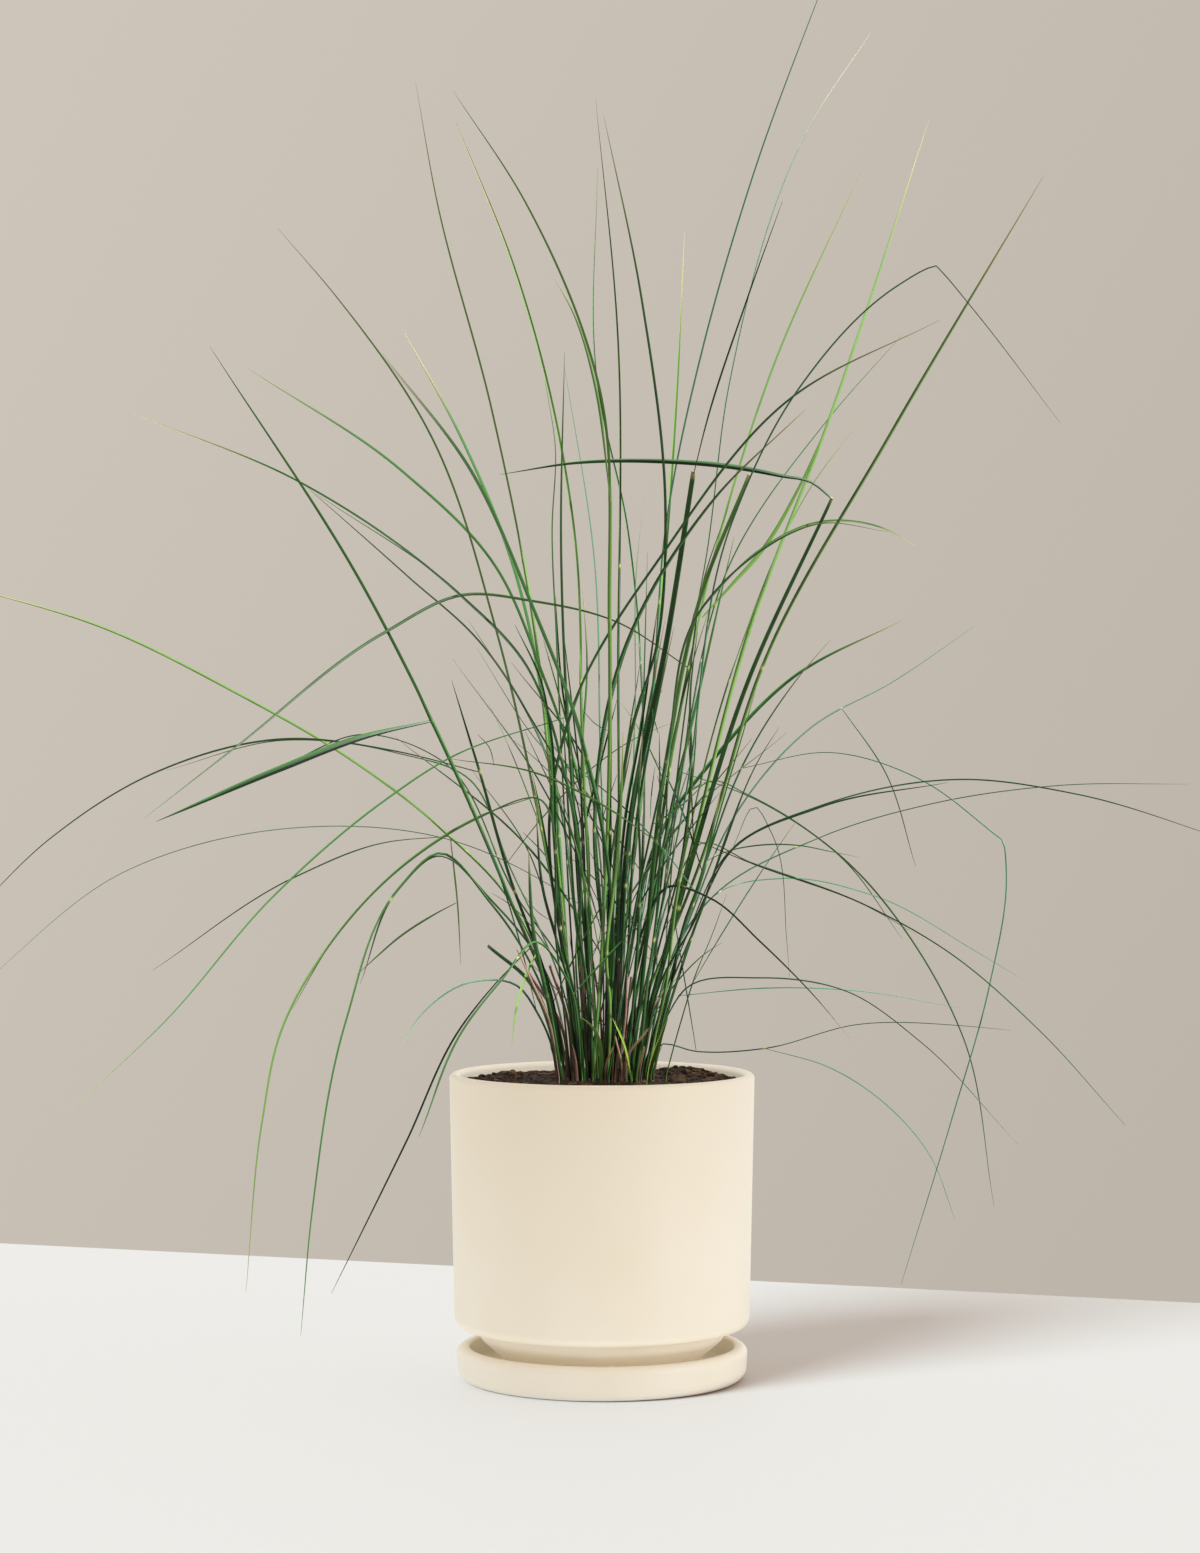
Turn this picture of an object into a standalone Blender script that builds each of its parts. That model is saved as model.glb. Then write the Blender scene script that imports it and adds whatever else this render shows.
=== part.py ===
"""Potted muhly grass: a cream planter on its saucer, potting soil, and a clump of fine arching shoots.

Metres, +Z up. The origin is the middle of the saucer's underside, and the viewer stands at -Y.
Sizes are in millimetres below and become metres where a mesh is made.
"""
from math import cos, hypot, pi, radians, sin, sqrt

import bmesh
import bpy
import numpy as np
from mathutils import Vector
from mathutils.kdtree import KDTree

MM = 0.001
GAP = 0.3
TURN_STEPS = 48

# Planter: a straight body over a narrower foot, which is upright at the top and a cone below
POT_HEIGHT = 203.0
POT_RIM_RADIUS = 101.5
POT_BODY_RADIUS = 98.0
POT_WALL = 7.0
POT_SHOULDER = 35.0
POT_SHOULDER_ROUNDING = 7.0
FOOT_TOP_RADIUS = 82.0
FOOT_BOTTOM_RADIUS = 58.0
FOOT_CONE_TOP = 28.5

# Saucer under it
SAUCER_RADIUS = 97.0
SAUCER_HEIGHT = 22.5
SAUCER_WALL = 9.0
SAUCER_FLOOR = 7.2
SAUCER_EDGE_ROUNDING = 8.0
SAUCER_BEVEL_RUN = 2.0
SAUCER_BEVEL_RISE = 3.0

# Potting soil, hollowed in the middle for the clump's crown
SOIL_TOP = 194.5
SOIL_LUMP_HEIGHT = 5.0
SOIL_LUMP_WIDTH = 22.0
SOIL_RINGS = 5
SOIL_PLAY = 0.9
CROWN_SEAT = 186.3
SEAT_PLAY = 0.5
SEAT_EDGE = 193.5

# Crown: the low woody base that every shoot grows from
CROWN_RADIUS = 38.0
CROWN_TOP = 198.5
CROWN_BEVEL = 2.0
STUB_DEPTH = 3.0
ROOT_RING = 34.5
ROOT_SLOTS = 74
SHOOT_ROOT = CROWN_TOP + GAP
SHOOT_STRAIGHT = 4.0
CLUMP_SPREAD = 0.24
ROOT_DEPTH_SHARE = 0.1
MERGE_HEIGHT = 170.0

# The forms below were chosen as the viewer sees them, so depth widens them along the line of sight
EYE_DISTANCE = 2300.0
EYE_HEIGHT = 400.0

# Tubes that stand for stems and blades. A lean grows with this power of the share of the way to the tip
STEM_LEAN_POWER = 1.5
LEAF_LEAN_POWER = 1.2
TAPER_POWER = 1.6
CUT_TAPER = 0.15
TIP_RADIUS = 0.35
STRETCH = 68.0
CLEARANCE = 0.45
SAMPLE_STEP = 1.5

# A crowded shoot may root elsewhere or lean nearer or farther: this much lean costs as much as 1 mm
SHIFT_WEIGHT = 4.0
SHIFT_STEP = 8
LARGEST_SHIFT = 120

# Last year's cut stubs on the crown: depth of the cut end, thickness, then the middle line as (x, z)
STUBS = [
    (-40, 3.2, [(-21, 238), (-33, 273)]),
    (-46, 2.6, [(-12, 240), (-14, 273)]),
    (-30, 2.8, [(-4, 245), (-8, 276)]),
    (-44, 3.8, [(11, 238), (12, 277)]),
    (-50, 2.2, [(13, 232), (17, 266)]),
    (20, 3.4, [(-27, 232), (-50, 270)]),
    (34, 3.0, [(20, 240), (33, 268)]),
    (46, 2.8, [(-6, 240), (-9, 262)]),
    (8, 3.2, [(30, 238), (42, 258)]),
]

# Shoots. Each has its green, the depth of its tip, its thickness at the base, "tip" or "cut" for its
# end, its middle line as (x, z) from the base up, and its side leaves. A leaf has the depth of its tip,
# its thickness and its middle line, which starts on the stem.
SHOOTS = [
    ("light", -230, 3.4, "tip", [(4, 265), (5, 504), (-2, 659), (-51, 782), (-99, 856)],
     [(-290, 2.2, [(3, 584), (-4, 657), (-19, 708), (-33, 734)])]),
    ("light", 280, 2.6, "tip", [(12, 258), (11, 491), (11, 690), (-4, 851)], []),
    ("deep", -170, 2.8, "tip", [(7, 305), (19, 428), (37, 491), (42, 570), (26, 718), (1, 840)], []),
    ("mid", 330, 2.4, "tip", [(24, 291), (27, 451), (17, 565), (-3, 661), (-3, 806)], []),
    ("mid", -120, 2.6, "tip", [(-11, 265), (-23, 443), (-27, 553), (-25, 683)],
     [(-230, 2.2, [(-23, 439), (-100, 413), (-146, 383), (-218, 321), (-291, 237), (-356, 176)])]),
    ("light", 210, 2.6, "tip", [(17, 278), (33, 448), (49, 643), (55, 762)], []),
    ("blue", -70, 3.2, "tip", [(19, 251), (32, 438), (44, 575), (68, 688), (100, 798), (157, 953)], []),
    ("blue", 300, 3.0, "tip", [(32, 258), (49, 443), (69, 543), (85, 662), (138, 832), (179, 895)], []),
    ("deep", -60, 4.4, "cut", [(13, 258), (20, 377), (42, 484), (61, 603)],
     [(-150, 1.8, [(60, 595), (69, 633), (95, 713), (120, 783)])]),
    ("light", 70, 3.0, "tip", [(35, 278), (48, 423), (75, 548), (112, 667), (173, 804)],
     [(-190, 2.4, [(58, 474), (12, 502), (-47, 517), (-91, 521), (-144, 496), (-243, 420),
                   (-305, 372)])]),
    ("light", 130, 3.2, "tip", [(35, 231), (59, 344), (96, 491), (150, 635), (218, 838)], []),
    ("light", -160, 3.2, "tip", [(42, 245), (69, 344), (108, 476), (191, 626), (294, 800)], []),
    ("blue", -260, 2.8, "tip", [(33, 251), (55, 384), (87, 570), (131, 658), (199, 728), (219, 739),
                                (222, 740), (224, 738), (246, 712), (305, 635)], []),
    ("mid", 340, 2.8, "tip", [(29, 245), (47, 371), (87, 545), (150, 637), (200, 694)], []),
    ("deep", -20, 3.4, "cut", [(39, 238), (60, 338), (96, 460), (153, 585)],
     [(-90, 2.6, [(151, 582), (141, 597), (95, 605), (-17, 609), (-68, 601)])]),
    ("light", -110, 3.2, "cut", [(25, 245), (43, 412), (67, 524), (98, 601)],
     [(60, 3.2, [(63, 507), (100, 547), (144, 569), (190, 564), (209, 553)]),
      (-150, 2.2, [(37, 360), (2, 380), (-43, 402), (-102, 412)])]),
    ("light", -110, 3.0, "tip", [(-29, 285), (-45, 388), (-70, 496), (-116, 631), (-175, 717),
                                 (-216, 765)],
     [(-60, 2.8, [(-45, 388), (-83, 373), (-126, 346), (-176, 295), (-214, 229), (-226, 171),
                  (-237, 57)])]),
    ("mid", -230, 3.0, "tip", [(11, 285), (-13, 423), (-47, 514), (-87, 603), (-146, 681)], []),
    ("mid", 200, 3.4, "tip", [(-20, 251), (-34, 411), (-59, 539), (-95, 628), (-133, 698)], []),
    ("mid", 70, 3.0, "tip", [(-7, 265), (-14, 391), (-39, 466), (-72, 541), (-133, 603),
                             (-236, 672)], []),
    ("mid", -130, 3.4, "tip", [(-25, 236), (-59, 318), (-110, 430), (-159, 526), (-261, 686)],
     [(-190, 3.0, [(-113, 437), (-156, 427), (-212, 406), (-297, 370)]),
      (60, 2.4, [(-43, 285), (-70, 263), (-93, 234), (-130, 157), (-180, 56)])]),
    ("mid", -40, 3.0, "tip", [(-11, 265), (-23, 394), (-52, 476), (-95, 521), (-200, 595),
                              (-313, 642)], []),
    ("mid", 240, 2.6, "tip", [(-18, 298), (-37, 414), (-80, 488), (-130, 534), (-199, 595)], []),
    ("light", 140, 3.0, "tip", [(-31, 238), (-62, 318), (-108, 366), (-164, 409), (-248, 458),
                                (-327, 497), (-431, 529)],
     [(200, 2.2, [(-101, 361), (-144, 356), (-202, 334), (-299, 271)])]),
    ("mid", -10, 2.6, "tip", [(-33, 251), (-63, 338), (-82, 405), (-100, 464)],
     [(110, 2.6, [(-82, 405), (-138, 417), (-212, 425), (-299, 402), (-367, 359), (-426, 301)])]),
    ("mid", -100, 2.8, "tip", [(-38, 245), (-75, 315), (-110, 349), (-136, 326), (-174, 237), (-200, 110),
                               (-210, 28)], []),
    ("blue", -60, 3.6, "tip", [(-31, 221), (-41, 243), (-55, 261), (-85, 263), (-120, 239),
                               (-134, 215)], []),
    ("deep", 60, 4.0, "cut", [(-33, 231), (-45, 260), (-75, 287)], []),
    ("blue", 90, 3.4, "tip", [(39, 245), (49, 285), (73, 319), (144, 359), (220, 382), (304, 394),
                              (391, 395)], []),
    ("blue", -130, 3.2, "tip", [(41, 238), (59, 294), (88, 353), (144, 380), (238, 398), (317, 388),
                                (422, 356)],
     [(-60, 2.0, [(86, 352), (102, 380), (113, 362), (123, 290), (125, 265)]),
      (-170, 2.2, [(50, 267), (31, 279), (-27, 323), (-95, 356), (-202, 366), (-317, 337),
                   (-421, 255)])]),
    ("blue", 190, 2.8, "tip", [(44, 251), (62, 305), (84, 366), (141, 434), (192, 462), (248, 500)],
     [(230, 2.0, [(160, 445), (187, 406), (209, 340)])]),
    ("blue", -60, 3.0, "tip", [(41, 245), (70, 344), (93, 406), (134, 470), (152, 491)],
     [(-150, 2.8, [(94, 408), (152, 416), (212, 398), (262, 361), (267, 357), (268, 351), (269, 334),
                   (258, 262), (233, 173), (199, 62)])]),
    ("mid", 30, 3.0, "tip", [(27, 245), (47, 382), (60, 438), (75, 504), (88, 560)],
     [(130, 2.6, [(51, 402), (95, 388), (162, 344), (210, 285), (240, 227), (261, 114)])]),
    ("deep", 50, 3.6, "tip", [(35, 245), (52, 331), (59, 397), (59, 460), (64, 500)],
     [(-180, 2.6, [(56, 359), (100, 342), (172, 316), (228, 285), (291, 231), (348, 168)])]),
    ("blue", 270, 2.6, "tip", [(44, 251), (55, 288), (80, 323), (121, 332), (182, 321), (254, 283),
                               (285, 265)], []),
    ("deep", -100, 3.2, "tip", [(19, 231), (26, 298), (44, 327), (71, 319), (104, 290), (141, 252),
                                (164, 224)], []),
    ("blue", -40, 2.6, "tip", [(40, 221), (65, 217), (110, 219), (172, 235), (243, 234), (274, 231)],
     [(-70, 2.0, [(110, 219), (152, 206), (185, 185), (218, 148), (235, 105)])]),
    ("blue", -90, 2.8, "tip", [(36, 214), (47, 238), (60, 259), (108, 266), (167, 257), (218, 223),
                               (285, 155)],
     [(50, 2.0, [(54, 249), (106, 259), (172, 257), (238, 246)])]),
    ("mid", 150, 3.0, "tip", [(20, 278), (39, 362), (73, 410), (126, 465), (200, 504)], []),
    ("blue", 60, 2.4, "tip", [(3, 265), (-1, 412), (-5, 543), (-25, 673)], []),
    ("mid", -180, 2.6, "tip", [(-27, 265), (-34, 384), (-19, 447), (42, 550), (125, 651),
                               (225, 704)], []),
    ("mid", -130, 2.6, "tip", [(0, 265), (-5, 372), (13, 479), (75, 585), (135, 644)], []),
    ("light", 150, 3.0, "tip", [(-28, 331), (-48, 519), (-73, 643), (-110, 784), (-124, 862)], []),
    ("light", -90, 2.4, "tip", [(-8, 265), (-13, 424), (-19, 565), (-58, 737), (-98, 837)], []),
    ("mid", 340, 2.6, "tip", [(-25, 262), (-59, 320), (-106, 410), (-156, 428), (-212, 407),
                              (-250, 390)], []),
    ("mid", 350, 2.6, "tip", [(35, 262), (53, 335), (66, 355), (100, 343), (172, 317), (228, 286)], []),
    ("deep", 320, 2.6, "tip", [(27, 262), (45, 350), (58, 390), (76, 397), (95, 389), (162, 345),
                               (205, 292)], []),
    ("mid", 330, 2.6, "tip", [(-33, 262), (-63, 340), (-88, 398), (-138, 416), (-212, 424),
                              (-290, 404)], []),
    ("deep", 300, 2.6, "tip", [(-38, 262), (-75, 317), (-110, 347), (-136, 326), (-165, 262)], []),
    ("mid", 345, 2.6, "tip", [(4, 300), (-14, 423), (-47, 513), (-87, 602), (-146, 680)], []),
    ("mid", 335, 2.6, "tip", [(0, 300), (-4, 372), (14, 478), (74, 583), (130, 640)], []),
    ("mid", -340, 2.6, "tip", [(24, 300), (43, 412), (62, 505), (100, 546), (144, 568), (190, 563)], []),
    ("mid", -330, 2.6, "tip", [(-11, 300), (-23, 396), (-52, 477), (-95, 522), (-190, 588)], []),
    ("deep", -320, 2.6, "tip", [(-29, 285), (-46, 386), (-83, 372), (-126, 345), (-176, 294),
                                (-205, 245)], []),
    ("deep", -300, 2.6, "tip", [(41, 262), (60, 298), (88, 352), (144, 379), (230, 396)], []),
    ("mid", -310, 2.6, "tip", [(-25, 262), (-46, 290), (-70, 264), (-93, 236), (-128, 160)], []),
]

CERAMIC = (0.79, 0.69, 0.55, 1)
SOIL_BROWN = (0.035, 0.02, 0.012, 1)
CROWN_BROWN = (0.16, 0.07, 0.035, 1)
GREENS = {
    "deep": (0.03, 0.10, 0.03, 1),
    "mid": (0.07, 0.19, 0.05, 1),
    "light": (0.16, 0.32, 0.07, 1),
    "blue": (0.06, 0.17, 0.09, 1),
}


def clear_scene():
    """Removes whatever objects the file holds."""
    for item in list(bpy.data.objects):
        bpy.data.objects.remove(item, do_unlink=True)


def new_collection(name):
    collection = bpy.data.collections.new(name)
    bpy.context.scene.collection.children.link(collection)
    return collection


def new_material(name, colour, roughness):
    material = bpy.data.materials.new(name)
    material.use_nodes = True
    shader = material.node_tree.nodes["Principled BSDF"]
    shader.inputs["Base Color"].default_value = colour
    shader.inputs["Roughness"].default_value = roughness
    shader.inputs["Metallic"].default_value = 0.0
    return material


def arc(centre, radius, start, end, steps):
    """Points of a circular arc in the profile plane, angles in degrees from +X towards +Z."""
    angles = [radians(start + (end - start) * i / steps) for i in range(steps + 1)]
    return [(centre[0] + radius * cos(a), centre[1] + radius * sin(a)) for a in angles]


def turned(name, profile, material, collection):
    """A profile of (radius, height) points turned round the Z axis; it runs down the outer side."""
    mesh = bpy.data.meshes.new(name)
    edges = [(i, i + 1) for i in range(len(profile) - 1)]
    mesh.from_pydata([(r * MM, 0, z * MM) for r, z in profile], edges, [])
    mesh.materials.append(material)
    piece = bpy.data.objects.new(name, mesh)
    collection.objects.link(piece)
    screw = piece.modifiers.new("Turn", "SCREW")
    screw.axis = "Z"
    screw.angle = 2 * pi
    screw.steps = screw.render_steps = TURN_STEPS
    screw.use_merge_vertices = True
    screw.merge_threshold = 0.00001
    screw.use_smooth_shade = True
    return piece


def foot_cavity():
    """Radius of the pot's inner floor, radius inside the foot's upright band, and height where they meet.

    The cone's wall is as thick as the body's, so its inside lies this much closer in at each height.
    """
    foot_bottom = SAUCER_FLOOR + GAP
    run, rise = FOOT_TOP_RADIUS - FOOT_BOTTOM_RADIUS, FOOT_CONE_TOP - foot_bottom
    inset = POT_WALL * hypot(run, rise) / rise
    floor_radius = FOOT_BOTTOM_RADIUS + POT_WALL * run / rise - inset
    band_radius = FOOT_TOP_RADIUS - POT_WALL
    meeting = foot_bottom + (band_radius + inset - FOOT_BOTTOM_RADIUS) * rise / run
    return floor_radius, band_radius, meeting


def pot_profile():
    """Up the inside from the floor, over the rounded lip, and down the outside to the foot's underside."""
    lip = POT_WALL / 2
    foot_bottom = SAUCER_FLOOR + GAP
    inner_floor = foot_bottom + POT_WALL
    inner_shoulder = POT_SHOULDER + POT_WALL
    floor_radius, band_radius, meeting = foot_cavity()
    rounding = POT_SHOULDER_ROUNDING
    corner = (POT_BODY_RADIUS - rounding, POT_SHOULDER + rounding)
    inside = [
        (0, inner_floor),
        (floor_radius, inner_floor),
        (band_radius, meeting),
        (band_radius, inner_shoulder),
        (POT_BODY_RADIUS - POT_WALL - rounding / 2, inner_shoulder),
        (POT_BODY_RADIUS - POT_WALL, inner_shoulder + rounding / 2),
    ]
    crest = arc((POT_RIM_RADIUS - lip, POT_HEIGHT - lip), lip, 180, 0, 4)
    shoulder = arc(corner, rounding, 0, -90, 3)
    foot = [(FOOT_TOP_RADIUS, POT_SHOULDER), (FOOT_TOP_RADIUS, FOOT_CONE_TOP),
            (FOOT_BOTTOM_RADIUS, foot_bottom), (0, foot_bottom)]
    return inside + crest + shoulder + foot


def saucer_profile():
    """From the middle of its floor over the rim to the flat underside."""
    lip = SAUCER_WALL / 2
    rounding = SAUCER_EDGE_ROUNDING
    inside = [(0, SAUCER_FLOOR), (SAUCER_RADIUS - SAUCER_WALL - SAUCER_BEVEL_RUN, SAUCER_FLOOR),
              (SAUCER_RADIUS - SAUCER_WALL, SAUCER_FLOOR + SAUCER_BEVEL_RISE)]
    rim = arc((SAUCER_RADIUS - lip, SAUCER_HEIGHT - lip), lip, 180, 0, 4)
    edge = arc((SAUCER_RADIUS - rounding, rounding), rounding, 0, -90, 4)
    return inside + rim + edge + [(0, 0)]


def soil_profile():
    """Follows the pot's inside at a gap, up to a lumpy surface with a seat for the crown."""
    floor = SAUCER_FLOOR + GAP + POT_WALL + GAP
    shoulder = POT_SHOULDER + POT_WALL + GAP
    rounding = POT_SHOULDER_ROUNDING / 2
    body = POT_BODY_RADIUS - POT_WALL - 2 * GAP
    slope = (POT_RIM_RADIUS - POT_BODY_RADIUS) / (POT_HEIGHT - shoulder)
    rim = body + slope * (SOIL_TOP - shoulder)
    floor_radius, band_radius, meeting = foot_cavity()
    seat = CROWN_RADIUS + GAP + SEAT_PLAY
    ring = (rim - seat) / (SOIL_RINGS + 1)
    surface = [(seat + ring * i, SOIL_TOP) for i in range(1, SOIL_RINGS + 1)]
    return [
        (0, CROWN_SEAT),
        (seat, CROWN_SEAT),
        (seat, SEAT_EDGE),
        *surface,
        (rim, SOIL_TOP),
        (body, shoulder + rounding),
        (body - rounding, shoulder),
        (band_radius - SOIL_PLAY, shoulder),
        (band_radius - SOIL_PLAY, meeting),
        (floor_radius - SOIL_PLAY, floor),
        (0, floor),
    ]


def make_soil(material, collection):
    """The turned solid, with its open surface raised and sunk by a smooth noise."""
    profile = soil_profile()
    soil = turned("soil", profile, material, collection)
    loose = [i for i, (radius, height) in enumerate(profile) if height == SOIL_TOP]
    group = soil.vertex_groups.new(name="surface")
    group.add(loose[:-1], 1.0, "REPLACE")
    noise = bpy.data.textures.new("soil lumps", "CLOUDS")
    noise.noise_scale = SOIL_LUMP_WIDTH * MM
    lumps = soil.modifiers.new("Lumps", "DISPLACE")
    lumps.texture = noise
    lumps.texture_coords = "LOCAL"
    lumps.direction = "Z"
    lumps.vertex_group = group.name
    lumps.strength = SOIL_LUMP_HEIGHT * MM
    return soil


def in_space(x, z, depth):
    """The place at this depth that the viewer sees at (x, z) of the plane through the pot's axis."""
    scale = 1 + depth / EYE_DISTANCE
    return np.array([x * scale, depth, EYE_HEIGHT + (z - EYE_HEIGHT) * scale])


def smooth_path(points):
    """Cubic curve through the points, cut into even stretches of about STRETCH."""
    points = np.array(points)
    along = np.concatenate([[0], np.cumsum(np.linalg.norm(np.diff(points, axis=0), axis=1))])
    slope = np.gradient(points, along, axis=0)
    fine = np.linspace(0, along[-1], 400)
    k = np.clip(np.searchsorted(along, fine, side="right") - 1, 0, len(along) - 2)
    step = (along[k + 1] - along[k])[:, None]
    t = (fine - along[k])[:, None] / step
    curve = ((1 + 2 * t) * (1 - t) ** 2 * points[k] + t * (1 - t) ** 2 * step * slope[k]
             + t * t * (3 - 2 * t) * points[k + 1] + t * t * (t - 1) * step * slope[k + 1])
    length = np.concatenate([[0], np.cumsum(np.linalg.norm(np.diff(curve, axis=0), axis=1))])
    even = np.linspace(0, length[-1], 2 + round(length[-1] / STRETCH))
    return np.array([np.interp(even, length, curve[:, axis]) for axis in range(3)]).T


def shares(line):
    """How far along a (x, z) line each point lies, from 0 to 1."""
    length = [0.0]
    for a, b in zip(line, line[1:]):
        length.append(length[-1] + hypot(b[0] - a[0], b[1] - a[1]))
    return [value / length[-1] for value in length]


def root_wish(tip_depth, line):
    """Where a shoot would root in an uncrowded clump, which widens evenly from the crown up."""
    x, z = line[0]
    widening = 1 + CLUMP_SPREAD * (z - SHOOT_ROOT) / CROWN_RADIUS
    return x / widening, tip_depth * ROOT_DEPTH_SHARE


def stem_path(slot, tip_depth, line):
    """Straight up from its slot on the crown, then along the line while the depth grows to the tip's.

    Below MERGE_HEIGHT the line is moved sideways by what the slot lies off the shoot's wish.
    """
    foot = np.array([slot[0], slot[1], SHOOT_ROOT])
    top = foot + (0, 0, SHOOT_STRAIGHT)
    aside = slot[0] - root_wish(tip_depth, line)[0]
    line = [(x + aside * max(0, 1 - (z - SHOOT_ROOT) / MERGE_HEIGHT), z) for x, z in line]
    share = shares([(slot[0], SHOOT_ROOT)] + line)[1:]
    points = [in_space(x, z, slot[1] + (tip_depth - slot[1]) * s ** STEM_LEAN_POWER)
              for (x, z), s in zip(line, share)]
    return np.vstack([foot, smooth_path([top] + points)])


def leaf_path(stem, tip_depth, line):
    """Leaves the stem where the line starts, and follows the line to the leaf's tip."""
    samples = dense(stem)
    scale = 1 + samples[:, 1] / EYE_DISTANCE
    seen = np.stack([samples[:, 0] / scale, EYE_HEIGHT + (samples[:, 2] - EYE_HEIGHT) / scale], axis=1)
    start = samples[np.argmin(np.linalg.norm(seen - line[0], axis=1))]
    points = [in_space(x, z, start[1] + (tip_depth - start[1]) * s ** LEAF_LEAN_POWER)
              for (x, z), s in zip(line[1:], shares(line)[1:])]
    return smooth_path([start] + points)


def dense(path):
    """Points every SAMPLE_STEP along straight stretches, for measuring gaps."""
    pieces = []
    for a, b in zip(path, path[1:]):
        count = max(2, round(np.linalg.norm(b - a) / SAMPLE_STEP))
        pieces.append(a + (b - a) * np.linspace(0, 1, count, endpoint=False)[:, None])
    return np.vstack(pieces + [path[-1]])


def taper(count, thickness, end):
    """Radius at each point: a cut end keeps most of its thickness, and a tip runs out fine."""
    share = np.linspace(0, 1, count)
    if end == "cut":
        return thickness / 2 * (1 - CUT_TAPER * share)
    return TIP_RADIUS + (thickness / 2 - TIP_RADIUS) * (1 - share ** TAPER_POWER)


def root_slots():
    """Even places for the roots on the crown, each turned by the golden angle from the last."""
    turn = pi * (3 - sqrt(5))
    spread = [ROOT_RING * sqrt((k + 0.5) / ROOT_SLOTS) for k in range(ROOT_SLOTS)]
    return [(r * cos(k * turn), r * sin(k * turn)) for k, r in enumerate(spread)]


def strands_of(slot, shoot, shift):
    """The stem and leaves of one shoot as (path, radii), with its tips moved in depth by shift."""
    _, depth, thickness, end, line, leaves = shoot
    stem = stem_path(slot, depth + shift, line)
    strands = [(stem, taper(len(stem), thickness, end))]
    for leaf_depth, leaf_thickness, leaf_line in leaves:
        leaf = leaf_path(stem, leaf_depth + shift, leaf_line)
        strands.append((leaf, taper(len(leaf), leaf_thickness, "tip")))
    return strands


def samples_of(strands):
    """Measuring points of all the strands, with the tube's radius at each."""
    places, radii = [], []
    for path, radius in strands:
        points = dense(path)
        length = np.concatenate([[0], np.cumsum(np.linalg.norm(np.diff(path, axis=0), axis=1))])
        at = np.concatenate([[0], np.cumsum(np.linalg.norm(np.diff(points, axis=0), axis=1))])
        places.append(points)
        radii.append(np.interp(at, length, radius))
    return np.vstack(places), np.concatenate(radii)


def clear_of(tree, taken, places, radii):
    """Whether these measuring points keep CLEARANCE from every one that stands already."""
    widest = max(taken, default=0)
    for place, radius in zip(places, radii):
        for _, index, distance in tree.find_range(place, radius + widest + CLEARANCE):
            if distance < radius + taken[index] + CLEARANCE:
                return False
    return True


def grow(rows):
    """Gives each row the free root slot and tip depth nearest its wish that clear what stands already."""
    slots = root_slots()
    placed, points, taken = [], [], []
    for number, row in enumerate(rows, start=1):
        tree = KDTree(len(points))
        for index, point in enumerate(points):
            tree.insert(point, index)
        tree.balance()
        wish = root_wish(row[1], row[4])
        choices = [(hypot(slot[0] - wish[0], slot[1] - wish[1]) + abs(shift) / SHIFT_WEIGHT, slot, shift)
                   for slot in slots for shift in range(-LARGEST_SHIFT, LARGEST_SHIFT + 1, SHIFT_STEP)]
        for _, slot, shift in sorted(choices):
            strands = strands_of(slot, row, shift)
            places, radii = samples_of(strands)
            if clear_of(tree, taken, places, radii):
                break
        else:
            raise RuntimeError(f"row {number} finds no clear place")
        slots.remove(slot)
        points.extend(Vector(place) for place in places)
        taken.extend(radii)
        placed.append(strands)
    return placed


def tube(name, path, radii, material, collection):
    """A four-sided tube of changing thickness along a path, as a bevelled curve with filled ends."""
    curve = bpy.data.curves.new(name, "CURVE")
    curve.dimensions = "3D"
    curve.bevel_depth = MM
    curve.bevel_resolution = 0
    curve.use_fill_caps = True
    curve.materials.append(material)
    spline = curve.splines.new("POLY")
    spline.points.add(len(path) - 1)
    for point, place, radius in zip(spline.points, path, radii):
        point.co = (*(place * MM), 1)
        point.radius = radius
    piece = bpy.data.objects.new(name, curve)
    collection.objects.link(piece)
    return piece


def as_mesh(piece, collection):
    """The curve's tube as a welded mesh object of the same name; the curve is removed."""
    bpy.context.view_layer.update()
    evaluated = piece.evaluated_get(bpy.context.evaluated_depsgraph_get())
    mesh = bpy.data.meshes.new_from_object(evaluated)
    shell = bmesh.new()
    shell.from_mesh(mesh)
    bmesh.ops.remove_doubles(shell, verts=shell.verts, dist=0.00001)
    bmesh.ops.recalc_face_normals(shell, faces=shell.faces)
    shell.to_mesh(mesh)
    shell.free()
    name = piece.name
    place = piece.matrix_world.copy()
    bpy.data.objects.remove(piece, do_unlink=True)
    solid = bpy.data.objects.new(name, mesh)
    solid.matrix_world = place
    collection.objects.link(solid)
    return solid


def fuse(body, part):
    """Boolean union of part into body; part stays as a hidden guide."""
    part.hide_render = True
    part.display_type = "WIRE"
    union = body.modifiers.new(part.name, "BOOLEAN")
    union.operation = "UNION"
    union.solver = "EXACT"
    union.object = part


def make_crown(stubs, material, collection, guides):
    """A low turned disc in the soil's seat, with the cut stubs fused to its top."""
    base = CROWN_SEAT + GAP
    side = [(0, CROWN_TOP), (CROWN_RADIUS - CROWN_BEVEL, CROWN_TOP),
            (CROWN_RADIUS, CROWN_TOP - CROWN_BEVEL), (CROWN_RADIUS, base), (0, base)]
    crown = turned("crown", side, material, collection)
    for number, strands in enumerate(stubs, start=1):
        path, radii = strands[0]
        path[0] -= (0, 0, GAP + STUB_DEPTH)
        stub = tube(f"stub_{number}", path, radii, material, guides)
        fuse(crown, as_mesh(stub, guides))
    return crown


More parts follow.
